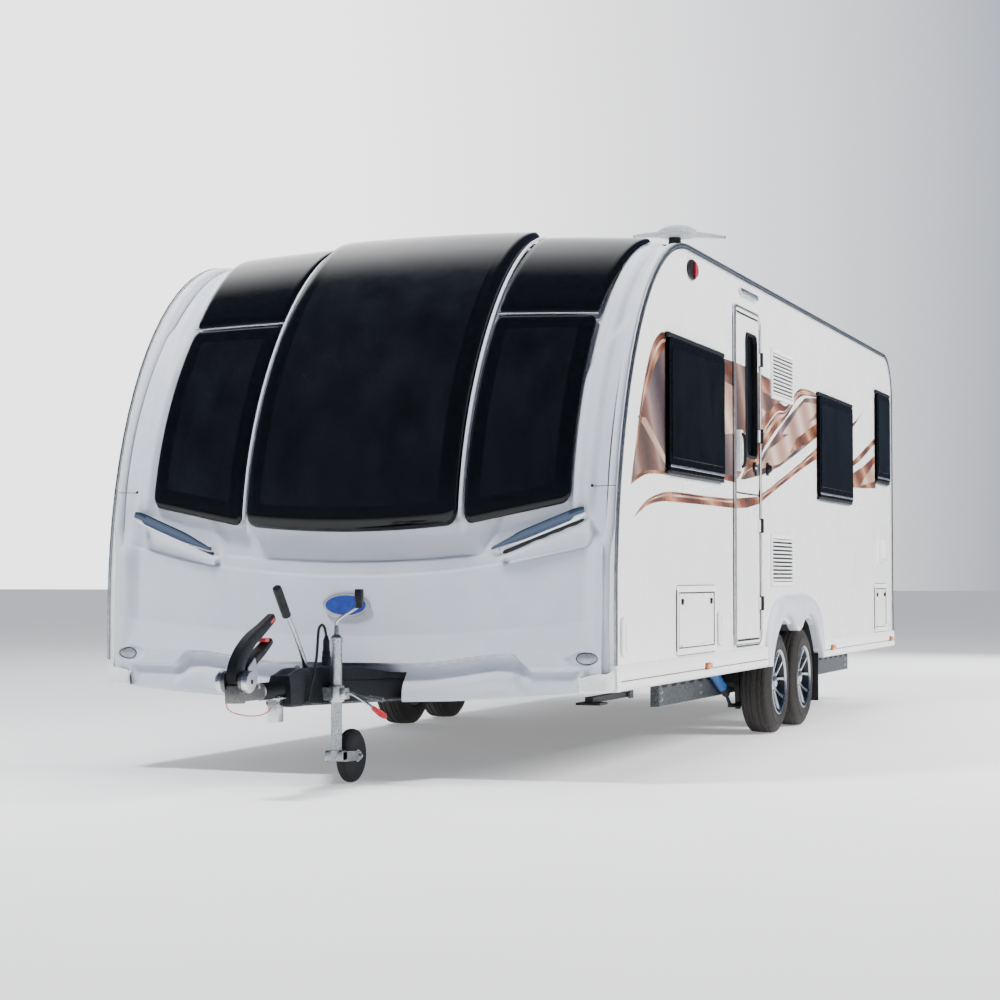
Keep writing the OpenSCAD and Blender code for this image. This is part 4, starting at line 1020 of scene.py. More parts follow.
def wall_fittings():
    part = Part("wall_fittings", white_plastic, shadow_gap, zinc_steel, black_plastic)
    for d, z, w, h in ((3027, 1891, 557, 276), (3002, 838, 558, 284)):
        part.grid([[(HALF_W + 9.5, a, b) for a, b in q + q[:1]] for q in
                   (rounded_rect(d, z, d + w, z + h, 14),
                    rounded_rect(d + 22, z + 20, d + w - 22, z + h - 20, 4))], 0)
        part.grid([[(HALF_W + k, a, b) for a, b in q + q[:1]] for q, k in
                   ((rounded_rect(d, z, d + w, z + h, 14), 9.5),
                    (rounded_rect(d - 3, z - 3, d + w + 3, z + h + 3, 16), 1))], 0)
        decal(part, rounded_rect(d + 20, z + 18, d + w - 20, z + h - 18, 3), 1, 4.2)
        pitch = (h - 40) / 11
        for i in range(11):
            zz = z + 20 + pitch * (i + 0.5)
            part.grid([[(HALF_W + a, dd, zz + b) for dd in (d + 22, d + w - 22)] for a, b in
                       ((5, pitch * .12), (10.5, pitch * .06), (12, -pitch * .08), (11, -pitch * .2),
                        (5, -pitch * .16))], 0)
    for d, z, w, h in ((1047, 550, 668, 256), (6270, 542, 410, 262)):
        for grow, out, wide, m in ((37, 6, 6, 1), (30, 8, 6, 0), (3, 7, 9, 1)):
            line = rounded_rect(d - grow, z - grow, d + w + grow, z + h + grow, 10 if grow < 10 else 34, 5)
            part.tube([(HALF_W + out - wide / 2, a, b) for a, b in line + line[:1]], wide / 2, m, 6, caps=False)
    part.plate(rounded_rect(6440, 992, 6616, 1150, 20), HALF_W + 10, HALF_W + 17, 0, 0, 4)
    part.tube([(HALF_W + 15.5, a, b) for a, b in rounded_rect(6450, 1002, 6606, 1140, 14)], 1.6, 1, 6)
    part.block((HALF_W + 14, 6515, 1000), (HALF_W + 24, 6541, 1016), 2, 2)
    for d in (100, 1790):
        part.plate(rounded_rect(d, 538, d + 84, 713, 26), HALF_W + 1, HALF_W + 13, 0, 0, 6)
        part.tube([(HALF_W + 12, d + 42, 556), (HALF_W + 12, d + 42, 694)], 2, 1, 6)
    part.done("caravan", "white_plastic")
    locks = {"front_locker": (1047, 550, 668, 256), "rear_locker": (6270, 542, 410, 262)}
    for body, (d, z, w, h) in locks.items():
        p = Part(body + "_locks", zinc_steel, black_plastic)
        for a in (d + 60, d + w - 60):
            p.revolve([(15, 0), (15, 6), (12, 9), (0, 10)], (HALF_W + 3, a, z + h - 40), 0, 1, 24)
            p.block((HALF_W + 9, a - 3, z + h - 46), (HALF_W + 14, a + 3, z + h - 34), 0, 1)
        p.done(body, "chrome")


LAMP_X, LAMP_Z = 1112, 531


def marker_lamps():
    part = Part("lamps", amber_lens, black_plastic, clear_lens, red_lens, white_plastic, zinc_steel)
    for _ in both(part):
        for d in (1546, 4672, 6803):
            part.plate(rounded_rect(d - 52, SILL_Z - 4, d + 52, SILL_Z + 28, 8), HALF_W + 13, HALF_W + 18, 0, 1, 2)
            part.plate(rounded_rect(d - 48, SILL_Z, d + 44, SILL_Z + 25, 8), HALF_W + 17, HALF_W + 30, 0, 0, 5)
        oval = [(1300 + 82 * math.cos(a), 2376 + 50 * math.sin(a))
                for a in np.linspace(0, 2 * math.pi, 48, endpoint=False)]
        part.plate(oval, HALF_W + 1, HALF_W + 14, 0, 1, 4)
        half = [(1300 + 66 * math.cos(a), 2376 + 40 * math.sin(a)) for a in np.linspace(-1.45, 1.45, 24)]
        part.plate(half, HALF_W + 12, HALF_W + 24, 0, 3, 4)
        part.plate(rounded_rect(2278, 2380, 2645, 2412, 12), HALF_W + 1, HALF_W + 22, 0, 5, 5)
        part.plate(rounded_rect(2290, 2384, 2633, 2398, 6), HALF_W + 20, HALF_W + 26, 0, 2, 2)
        rows = []
        for r in np.linspace(0.02, 1, 8):
            rows.append([on_skin(LAMP_X + 46 * r * math.cos(a), LAMP_Z + 25 * r * math.sin(a), 9 * (1 - r * r) + 1)
                         for a in np.linspace(0, 2 * math.pi, 40)])
        part.grid(rows, 2)
        part.tube(rows[-1], 2.2, 1, 6, caps=False)
        part.plate(rounded_rect(960, 660, 1110, 1270, 40), BODY_L + 4, BODY_L + 18, 1, 5, 5)
        part.plate(rounded_rect(972, 900, 1098, 1258, 32), BODY_L + 16, BODY_L + 26, 1, 3, 5)
        part.plate(rounded_rect(972, 780, 1098, 892, 20), BODY_L + 16, BODY_L + 25, 1, 0, 5)
        part.plate(rounded_rect(972, 672, 1098, 772, 20), BODY_L + 16, BODY_L + 25, 1, 2, 5)
    part.done("caravan", "lamp_lens", ["road_lamps"])


# ---- skirts, spats, roof, rear ----

def skirts():
    part = Part("skirt_rails", white_plastic, shadow_gap)
    profile = [(2, 502), (10, 500), (14, 492), (15, 470), (15, 440), (12, 435), (9, 433), (12, 431), (17, 426),
               (18, 410), (16, 400), (10, 392), (2, 389), (-22, 389)]
    spans = ((4, 2896), (4412, BODY_L - 2))
    for _ in both(part):
        for a, b in spans:
            part.grid([[(HALF_W + x, d, z) for x, z in profile] for d in (a, b)],
                      lambda i, j: 1 if j in (5, 6) else 0)
            for d in (a, b):
                part.add([(HALF_W + x, d, z) for x, z in profile] + [(HALF_W - 22, d, 502)],
                         [list(range(len(profile) + 1))], 0)
        nose_cap = [(1084, -52, 0), (1100, -58, 0), (1150, -52, 0), (1195, -34, 0), (1226, -2, 0), (1240, 40, 0),
                    (1240, 60, 0)]
        path = spline(nose_cap, 5)
        rows = []
        for k, off, bow in ((0, 26, 0), (0.02, 8, 0), (0.12, 0, 0), (0.5, -3, 0), (0.85, 0, 0), (0.97, 6, 0),
                            (1, 22, 0)):
            row = []
            for p in path:
                tall = 452 + 16 * float(smooth(1084, 1180, p[0])) + 30 * float(smooth(1200, 1240, p[0]))
                row.append((p[0] - off * 0.4, p[1] + off, 388 + (tall - 388) * k))
            rows.append(row)
        part.grid(rows, 0)
        part.tube([(1084, -46, 388), (1082, -46, 420), (1098, -44, 456)], 2, 1, 6)
    part.done("caravan", "skirt_plastic", ["side_skirts"], 40)
    back = Part("rear_bumper", white_plastic, shadow_gap)
    back.plate(rounded_rect(-HALF_W + 6, 391, HALF_W - 6, 500, 24), BODY_L + 1, BODY_L + 24, 1, 0, 8)
    back.tube([(-HALF_W + 20, BODY_L + 24, 432), (HALF_W - 20, BODY_L + 24, 432)], 2, 1, 6)
    back.done("caravan", "skirt_plastic")


SPAT_OUT = [(2865, 392), (2867, 524), (2933, 628), (3008, 701), (3090, 742), (3163, 759), (3321, 783), (3630, 786),
            (3938, 782), (4115, 754), (4200, 728), (4266, 697), (4330, 640), (4372, 560), (4398, 480), (4402, 392)]
SPAT_IN = [(2950, 392), (2967, 440), (3030, 520), (3110, 585), (3241, 649), (3330, 664), (3388, 660), (3500, 632),
           (3593, 586), (3654, 572), (3720, 586), (3800, 632), (3907, 662), (3990, 662), (4054, 649), (4140, 610),
           (4203, 561), (4270, 490), (4323, 420), (4330, 392)]


def spats():
    part = Part("wheel_arch_spats", gelcoat_with_painted_shade, shadow_gap)
    outer, inner = even(SPAT_OUT, 90, 8), even(SPAT_IN, 90, 8)
    for _ in both(part):
        steps = ((0, 1), (0.02, 12), (0.1, 22), (0.22, 27), (0.45, 26), (0.7, 24), (0.88, 26), (0.97, 27),
                 (1, 22), (1, 2), (1, -30))
        part.grid([[(HALF_W + x, o[0] + (i[0] - o[0]) * k, o[1] + (i[1] - o[1]) * k) for o, i in zip(outer, inner)]
                   for k, x in steps], 0)
        part.grid([[(HALF_W + x, p[0], p[1]) for p in inner] for x in (-30, -200)], 1)
    part.done("caravan", "spat_plastic", ["wheel_spats"], 50)


def roof_pieces():
    part = Part("roof_skin", wall_skin, anodised)
    ds = np.linspace(CROWN_D - 1, BODY_L - TAIL_R, 40)
    xs = np.linspace(-HALF_W + 2, HALF_W - 2, 41)
    part.grid([[(x, d, RAIL_Z + dome(x) - 1 - (4 if abs(x) > HALF_W - 20 else 0)) for x in xs] for d in ds], 0)
    part.done("caravan", "roof_skin", ["roof_panel"])
    wing = Part("aerial", aerial_plastic, black_plastic)
    x0, d0, zt = 1096, 1570, RAIL_Z + 68
    rows = []
    for v in np.linspace(0, 1, 9):
        a = math.pi * v
        row = []
        for u in np.linspace(0, 1, 20):
            swell = math.sin(math.pi * min(max(u, 0.02), 0.98)) ** 0.5
            row.append((x0 - 205 + 410 * u, d0 - 120 + 235 * u - 62 * swell * 1.15 * math.cos(a),
                        zt + 34 * (1 - 0.5 * abs(u - 0.5)) + 20 * math.sin(a) * swell + 10 * u))
        rows.append(row)
    for v in np.linspace(0, 1, 5)[1:]:
        rows.append([tuple(np.array(rows[8][i])
                           + (np.array(rows[0][i]) - np.array(rows[8][i])) * v - [0, 0, 10 * math.sin(math.pi * v)])
                     for i in range(20)])
    wing.grid(rows, 0)
    wing.revolve([(60, 0), (52, 20), (34, 40), (30, 100)], (x0 - 20, d0 - 20, RAIL_Z - 4), 2, 1, 32)
    wing.revolve([(60, 90), (96, 96), (104, 108), (92, 130), (62, 146), (0, 152)], (x0 - 10, d0 - 10, RAIL_Z), 2,
                 0, 40)
    wing.done("caravan", "roof_plastic")
    vents = Part("rooflights", roof_plastic, white_plastic, tinted_acrylic)
    for a0, b0, a1, b1, h in ((-210, 3390, 210, 3810, 60), (-360, 4900, 360, 5400, 70),
                              (-170, 6100, 170, 6440, 50)):
        z = RAIL_Z + RISE - 2
        vents.plate(rounded_rect(a0, b0, a1, b1, 40), z, z + h * 0.4, 2, 1, 6)
        vents.plate(rounded_rect(a0 + 14, b0 + 14, a1 - 14, b1 - 14, 46), z + h * 0.4, z + h * 0.9, 2, 2, 14)
    vents.done("caravan", "roof_plastic", ["roof_fittings"])


def rear_face():
    part = Part("rear_moulding", gelcoat_with_painted_shade, shadow_gap, tinted_acrylic, glazing_border)
    xs = np.linspace(-HALF_W + 2, HALF_W - 2, 81)
    rows = []
    for t in np.concatenate([np.linspace(0, 1, 50)[:-1], np.linspace(1, 2, 24)]):
        row = []
        for x in xs:
            ax = abs(x)
            z = SKIRT_Z + (RAIL_Z - TAIL_R - SKIRT_Z) * min(t, 1)
            edge = 40 * float(smooth(HALF_W - 60, HALF_W, ax)) ** 2
            out = -edge
            out += 8 * float(smooth(640, 660, z) - smooth(640, 660, z - 60)
                             + smooth(1400, 1425, z)) * (1 - float(smooth(850, 900, ax)))
            out -= 10 * float((smooth(700, 720, z) - smooth(860, 880, z))) * (1 - float(smooth(300, 330, ax)))
            if t <= 1:
                row.append((x, BODY_L + out, z))
            else:
                a = (t - 1) * math.pi / 2
                r = TAIL_R + out
                row.append((x, BODY_L - TAIL_R + r * math.cos(a), RAIL_Z - TAIL_R + r * math.sin(a)
                            + dome(x) * (t - 1)))
        rows.append(row)
    part.grid(rows, 0)
    part.plate(rounded_rect(-620, 1500, 620, 2080, 70), BODY_L + 4, BODY_L + 18, 1, 3, 6)
    part.plate(rounded_rect(-560, 1556, 560, 2030, 40), BODY_L + 16, BODY_L + 22, 1, 2, 3)
    part.plate(rounded_rect(-280, 722, 280, 850, 8), BODY_L - 8, BODY_L - 3, 1, 1, 2)
    part.done("caravan", "gelcoat_rear", ["rear_panel"], 40)


# ---- running gear ----

def wheel(body, sx, d):
    rub = Part("tyre_" + body, tyre_rubber)
    depth = bpy.context.scene.caravan_running.tread_depth * 1000
    cross = [(178, -76), (186, -83), (200, -87), (222, -89), (240, -87), (258, -82), (274, -74), (284, -66)]
    tread = [(291 - 0.0009 * w * w, w) for w in np.linspace(-62, 62, 31)]
    cross = cross + tread + [(r, -w) for r, w in cross[::-1]]
    steps = 144
    rings = []
    for k, (r, w) in enumerate(cross):
        ring = []
        for i in range(steps):
            rr = r
            if abs(w) <= 63:
                groove = min(abs(abs(w) - 18), abs(abs(w) - 44)) < 3.2
                sipe = (i + int(abs(w) / 12)) % 4 == 0 and (abs(w) > 22) and not groove
                rr = r - depth * (1.0 if groove else 0.55 if sipe else 0)
            elif abs(w) >= 74 and 225 < r < 286:
                rr = r - (1.2 if i % 4 == 0 and r > 262 else 0)
            a = 2 * math.pi * i / steps
            ring.append((sx * (TYRE_X + w), d + rr * math.cos(a), TYRE_R + rr * math.sin(a)))
        rings.append(ring)
    rub.rings(rings, 0, caps=False)
    for r in (212, 244):
        rub.tube([(sx * (TYRE_X + 88.6 - abs(r - 226) * 0.06), d + r * math.cos(a), TYRE_R + r * math.sin(a))
                  for a in np.linspace(0, 2 * math.pi, 97)], 1.1, 0, 6, caps=False)
    tyre_node = body.replace("wheel_", "tyre_")
    rub.done(body, "tyre_rubber", [tyre_node], 32)

    rim = Part("alloy_" + body, alloy, pocket_paint_and_shade, zinc_steel)
    profile = [(168, -78), (178, -78), (180, -70), (166, -52), (158, 0), (160, 40), (168, 64), (178, 76), (184, 80),
               (182, 85), (174, 83), (168, 72), (160, 58), (152, 20), (120, 2), (60, 0), (28, 0)]
    # The barrel and the disc behind the spokes take the anthracite: painted pockets, and painted shade for the gaps
    # between the spokes
    rim.revolve([(r, w * sx) for r, w in profile], (sx * TYRE_X, d, TYRE_R), 0, 1, 96, caps=False)
    rim.revolve([(186, 76 * sx), (185, 86 * sx), (180, 88 * sx), (173, 86 * sx), (169, 78 * sx)],
                (sx * TYRE_X, d, TYRE_R), 0, 0, 96, caps=False)
    n = bpy.context.scene.caravan_running.spokes
    for i in range(n):
        for s in (-1, 1):
            base = math.pi / 2 + 2 * math.pi * i / n
            rings = []
            for k in np.linspace(0, 1, 9):
                r = 34 + 142 * k
                a = base + s * (0.10 + 0.235 * k ** 0.8) + 0.05 * k
                wide = 11 - 4 * math.sin(math.pi * k) + 3 * k
                h = 52 + 26 * k ** 1.6
                c, q = math.cos(a), math.sin(a)
                shape = ((-wide, h - 26), (-wide, h - 5), (-wide * 0.6, h + 1), (wide * 0.6, h + 1),
                         (wide, h - 5), (wide, h - 26))
                rings.append([(sx * (TYRE_X + hh), d + r * c - ww * q, TYRE_R + r * q + ww * c) for ww,
                              hh in shape])
            rim.rings(rings, 0)
        a = math.pi / 2 + 2 * math.pi * (i + 0.5) / n
        rim.revolve([(9, 44 * sx), (9, 60 * sx), (6, 62 * sx)],
                    (sx * TYRE_X, d + 49 * math.cos(a), TYRE_R + 49 * math.sin(a)), 0, 2, 6)
    rim.revolve([(64, 20 * sx), (62, 48 * sx), (44, 58 * sx), (36, 60 * sx), (34, 66 * sx), (20, 70 * sx),
                 (0, 71 * sx)],
                (sx * TYRE_X, d, TYRE_R), 0, 0, 48, caps=False)
    rim.done(body, "alloy", [body.replace("wheel_", "rim_")], 36)


def underside():
    part = Part("chassis_details", shadow_gap, galvanised, zinc_steel, blue_paint, black_steel)
    for _ in both(part):
        for d in range(1850, 6800, 180):
            if all(abs(d - a + 160) > 110 for a in AXLES):
                part.plate(rounded_rect(d, 318, d + 96, 352, 16), MEMBER_X + 0.3, MEMBER_X + 1.6, 0, 0, 0.4)
        for d in (1830, 2620, 6720):
            for z in (260, 300, 390):
                part.bolt((MEMBER_X, d, z), 0, 9, 2)
        for a in AXLES:
            p = np.array((958, a - 600, 374))
            q = np.array((958, a - 280, 235))
            part.tube([p, p + (q - p) * 0.72], 28, 3, 20)
            part.tube([p + (q - p) * 0.7, q + (q - p) * 0.05], 20, 4, 16)
        part.block((MEMBER_X - 48, 1796, 222), (MEMBER_X + 2, 6838, 227), 1, 1)
    part.done("caravan", "galvanised")
    mud = Part("mudflap_ribs", rubber)
    for _ in both(mud):
        for x in np.linspace(1060, 1200, 8):
            mud.tube([(x, 4315, 150), (x, 4315, 400)], 2.2, 0, 6)
    mud.done("caravan", "cable_rubber")


# ---- hitch ----

def hitch_cover():
    part = Part("drawbar_moulding", black_plastic)
    slope = 0.44

    def plan(inset):
        def bx(d):
            return 84 + slope * (d + 430) + 8
        right = [(58, -736), (62, -640), (bx(-500), -500), (bx(-300), -300), (bx(-100), -100), (bx(60), 56)]
        pts = right + [(0, 60)] + [(-x, d) for x, d in right[::-1]] + [(0, -742)]
        return offset(spaced(pts + pts[:1], 96, closed=True), inset)

    levels = [(350, 2), (356, -2), (430, 4), (478, 12), (494, 16), (500, 24), (498, 34), (470, 44), (452, 62),
              (446, 90)]
    rings = []
    for z, inset in levels:
        ring = []
        for x, d in plan(inset):
            drop = 34 * float(smooth(-260, -40, d)) + 24 * float(smooth(-600, -730, d))
            k = max(0.0, (z - 430) / 70)
            ring.append((x, d, z - drop * k))
        rings.append(ring)
    part.grid(rings, 0, wrap=True)
    last = rings[-1]
    part.add(last, [list(range(len(last)))], 0)
    part.done("caravan", "black_plastic", ["drawbar_cover"], 34)


def coupling():
    part = Part("coupling_parts", cast_iron, zinc_steel, black_plastic, red_plastic, shadow_gap)
    y = -1125
    part.revolve([(38, -34), (42, -20), (43, 10), (38, 36), (24, 46), (12, 58), (11, 64)], (0, y, 415), 2, 0, 40)
    part.plate(rounded_rect(-36, 386, 36, 450, 14), y + 10, y + 200, 1, 0, 8)
    part.tube([(0, y + 190, 418), (0, y + 214, 417)], 33, 1, 28)
    part.tube([(0, y + 200, 416), (0, -664, 416)], 27, 2, 24)
    for i in range(16):
        part.revolve([(27, 0), (36, 7), (27, 14)], (0, y + 214 + i * 15, 416), 1, 2, 28, caps=False)
    for s in (-1, 1):
        c = (s * 28, y, 467)
        part.revolve([(20, 0), (42, 2 * s), (43, 8 * s), (43, 20 * s), (34, 24 * s)], c, 0, 0, 36)
        part.revolve([(44, 18 * s), (45, 34 * s), (40, 43 * s), (24, 45 * s), (0, 45 * s)], c, 0, 1, 36)
        part.revolve([(10, 45 * s), (9, 47 * s), (0, 47 * s)], c, 0, 4, 20)
        part.bolt((s * 30, y + 60, 440), 0, 8, 1, s)
        part.bolt((s * 30, y + 140, 440), 0, 8, 1, s)
    part.block((-24, -790, 284), (24, -731, 396), 1, 5)
    part.block((-40, -806, 380), (40, -640, 388), 1, 2)
    for d in (-790, -700, -660):
        for s in (-1, 1):
            part.bolt((s * 26, d, 380), 2, 8, 1, -1)
    part.done("caravan", "cast_steel", ["coupling_head"])

    lever = Part("stabiliser_lever", black_plastic, red_plastic, zinc_steel)
    def leaf(lo, hi, w0, w1, m, shift):
        path = spline(lo, 6)
        rings = []
        for i, p in enumerate(path):
            k = i / (len(path) - 1)
            p = np.array(p) + shift
            q = np.array(path[min(i + 1, len(path) - 1)]) - np.array(path[max(i - 1, 0)])
            q = q / np.linalg.norm(q)
            n = np.array((0, -q[2], q[1]))
            w = w0 + (w1 - w0) * k
            t = hi * (1 - 0.55 * k)
            rings.append([p + np.array((w * a, 0, 0)) + n * t * b for a, b in
                          ((-1, -.7), (-.8, -1), (.8, -1), (1, -.7), (1, .5), (.7, 1), (-.7, 1), (-1, .5))])
        lever.rings(rings, m)
    leaf([(0, -1128, 470), (0, -1122, 520), (0, -1075, 578), (0, -1000, 628), (0, -905, 668), (0, -800, 716)], 38,
         32, 17, 0, np.zeros(3))
    leaf([(0, -1090, 470), (0, -1060, 520), (0, -1010, 565), (0, -930, 600), (0, -858, 640)], 30, 30, 22, 0,
         np.array((0, 24, -18)))
    lever.plate(rounded_rect(-905, 618, -868, 634, 4), -24, 24, 0, 1, 2)
    lever.plate([(-838, 690), (-800, 708), (-806, 716), (-846, 700)], -18.5, 18.5, 0, 1, 1)
    lever.block((-30, -1150, 440), (30, -1070, 500), 0, 10)
    lever.plate([(-1100, 440), (-1010, 440), (-990, 500), (-1020, 560), (-1080, 520)], 30, 35, 0, 2, 1.5)
    lever.done("caravan", "black_plastic", ["stabiliser_handle"])

    brake = Part("handbrake_parts", zinc_steel, black_plastic)
    path = spline([(0, -440, 440), (0, -470, 500), (0, -520, 570), (0, -564, 622), (0, -620, 684),
                   (0, -661, 724)], 6)
    brake.tube(path, 12.5, 0, 16)
    g0, g1 = np.array((0, -655, 718)), np.array((0, -757, 842))
    g = [g0 + (g1 - g0) * k for k in (0, .02, .08, .15, .3, .5, .7, .9, .97, 1)]
    brake.tube(g, [14, 19, 20, 18, 19, 18.5, 19, 19.5, 18, 12], 1, 18)
    for k in np.linspace(0.2, 0.85, 9):
        p = g0 + (g1 - g0) * k
        brake.tube([p, p + (g1 - g0) * 0.02], 20, 1, 18)
    brake.done("caravan", "black_plastic", ["handbrake_lever"])


def jockey():
    clamp = Part("jockey_clamp_parts", zinc_steel, red_plastic, galvanised)
    x, d, z = JOCKEY_X, JOCKEY_D, 388
    clamp.grid([[(x + r * math.cos(a), d + r * math.sin(a), zz) for a in np.linspace(0, 2 * math.pi, 37)]
                for r, zz in ((25, z - 34), (33, z - 34), (34, z - 28), (34, z + 28), (33, z + 34),
                              (25, z + 34))], 0)
    clamp.block((x + 20, d - 24, z - 24), (x + 52, d + 24, z + 24), 0, 4)
    clamp.block((x - 74, d - 32, z - 28), (x - 28, d + 32, z + 28), 0, 4)
    clamp.bolt((x + 52, d, z), 0, 9, 0)
    lever = spline([(x + 56, d, z), (x + 70, d - 2, z + 2), (x + 130, d - 4, z - 30), (x + 178, d - 4, z - 62)], 5)
    clamp.tube(lever, 7, 0, 12)
    a, b = np.array((x + 168, d - 4, z - 56)), np.array((x + 232, d - 4, z - 98))
    clamp.tube([a + (b - a) * k for k in (0, .1, .3, .6, .85, 1)], [8, 11, 12, 14, 12, 6], 1, 14)
    clamp.done("caravan", "galvanised")
    post = Part("jockey_post_parts", galvanised, zinc_steel, black_plastic)
    post.revolve([(24, 150), (24, 600), (26, 604), (26, 626), (20, 632), (11, 640), (10, 668), (8, 676)],
                 (x, d, 0), 2, 0, 36)
    post.tube(spline([(x, d, 660), (x, d, 690), (x + 24, d, 712), (x + 78, d, 744), (x + 98, d, 758),
                      (x + 104, d, 790)], 5), 7, 1, 12)
    post.plate(rounded_rect(x + 88, d - 16, x + 120, d + 16, 6), 776, 832, 2, 2, 5)
    post.revolve([(14, 750), (15, 780)], (x + 104, d, 0), 2, 2, 20)
    post.tube([(x, d, 132), (x, d, 152)], 20, 1, 24)
    post.done("jockey_post", "galvanised", ["jockey_tube"])
    fork = Part("jockey_fork_parts", galvanised, zinc_steel)
    hub = (x, d + 157, 114)
    fork.revolve([(27, 102), (29, 104), (29, 148), (26, 150)], (x, d, 0), 2, 0, 32)
    for s in (-1, 1):
        x0, x1 = sorted((x + s * 37, x + s * 42))
        fork.plate([(d - 24, 102), (d - 24, 148), (d + 30, 144), (d + 168, 134), (d + 178, 114), (d + 168, 96),
                    (d + 30, 98)],
                   x0, x1, 0, 0, 1.5)
        fork.bolt((x + s * 42, hub[1], hub[2]), 0, 10, 1, s)
    fork.block((x - 42, d - 26, 104), (x + 42, d + 24, 146), 0, 5)
    fork.done("jockey_castor", "galvanised", ["jockey_fork"])
    roll = Part("jockey_roller_parts", rubber, zinc_steel)
    prof = [(30, -31), (60, -30), (84, -31), (98, -28), (108, -20), (113, -9), (114, 0), (113, 9), (108, 20),
            (98, 28), (84, 31), (60, 30), (30, 31)]
    roll.revolve(prof, hub, 0, 0, 64)
    for w in (-16, -6, 6, 16):
        roll.revolve([(111, w - 2), (115 if abs(w) < 10 else 112, w), (111, w + 2)], hub, 0, 0, 64, caps=False)
    roll.revolve([(26, -33), (26, 33)], hub, 0, 1, 24)
    roll.done("jockey_roller", "tyre_rubber", ["jockey_wheel"])


TOW = [(72, -604, 362), (72, -590, 384), (72, -566, 428), (72, -540, 478), (70, -514, 534), (66, -494, 586),
       (63, -482, 628), (60, -465, 664), (57, -430, 679), (55, -396, 664), (55, -379, 626)]
BREAKAWAY = [(-42, -1128, 388), (-44, -1104, 358), (-40, -1064, 340), (-30, -1010, 328), (-14, -950, 320),
             (0, -890, 322), (6, -845, 332), (8, -818, 346)]


def curve(name, points, r, make, body):
    cu = bpy.data.curves.new(name, "CURVE")
    cu.dimensions = "3D"
    cu.bevel_depth = r / 1000
    cu.bevel_resolution = 3
    cu.use_fill_caps = True
    sp = cu.splines.new("POLY")
    sp.points.add(len(points) - 1)
    for p, q in zip(sp.points, points):
        p.co = (*at(*q), 1)
    cu.materials.append(mat(make))
    ob = bpy.data.objects.new(name, cu)
    bpy.context.scene.collection.objects.link(ob)
    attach(ob, body)
    return ob


def run(points):
    return sum((Vector(b) - Vector(a)).length for a, b in zip(points[:-1], points[1:])) / 1000


def cords():
    plug = Part("tow_plug_parts", black_plastic, rubber)
    plug.revolve([(0, 502), (17, 503), (20, 508), (20, 540), (18, 544), (18, 562), (15, 570), (14, 612),
                  (10, 622), (7, 632)],
                 (55, -379, 0), 2, 0, 28)
    for z in range(574, 612, 8):
        plug.revolve([(14, z), (16, z + 3), (14, z + 6)], (55, -379, 0), 2, 1, 28, caps=False)
    plug = plug.done("caravan", "cable_rubber", ["tow_plug"])
    line = spline(TOW, 8)
    lead = curve("tow_cable", line, 6, rubber, "caravan")
    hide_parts("tow_lead")
    at(*line[0])
    run(line)
    line = spline(BREAKAWAY, 8)
    wire = curve("breakaway_wire", line, 2.5, red_plastic, "caravan")
    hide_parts("breakaway_cable")
    at(*line[0])
    run(line)


# ---- stage ----

# Where the viewer's eye stands, in design millimetres, and how it looks at the caravan
EYE = (3926.5, -8877.8, 874.3)
LENS_MM, TILT_DEG, TURN_DEG = 78.05, 92.0869, 19.919


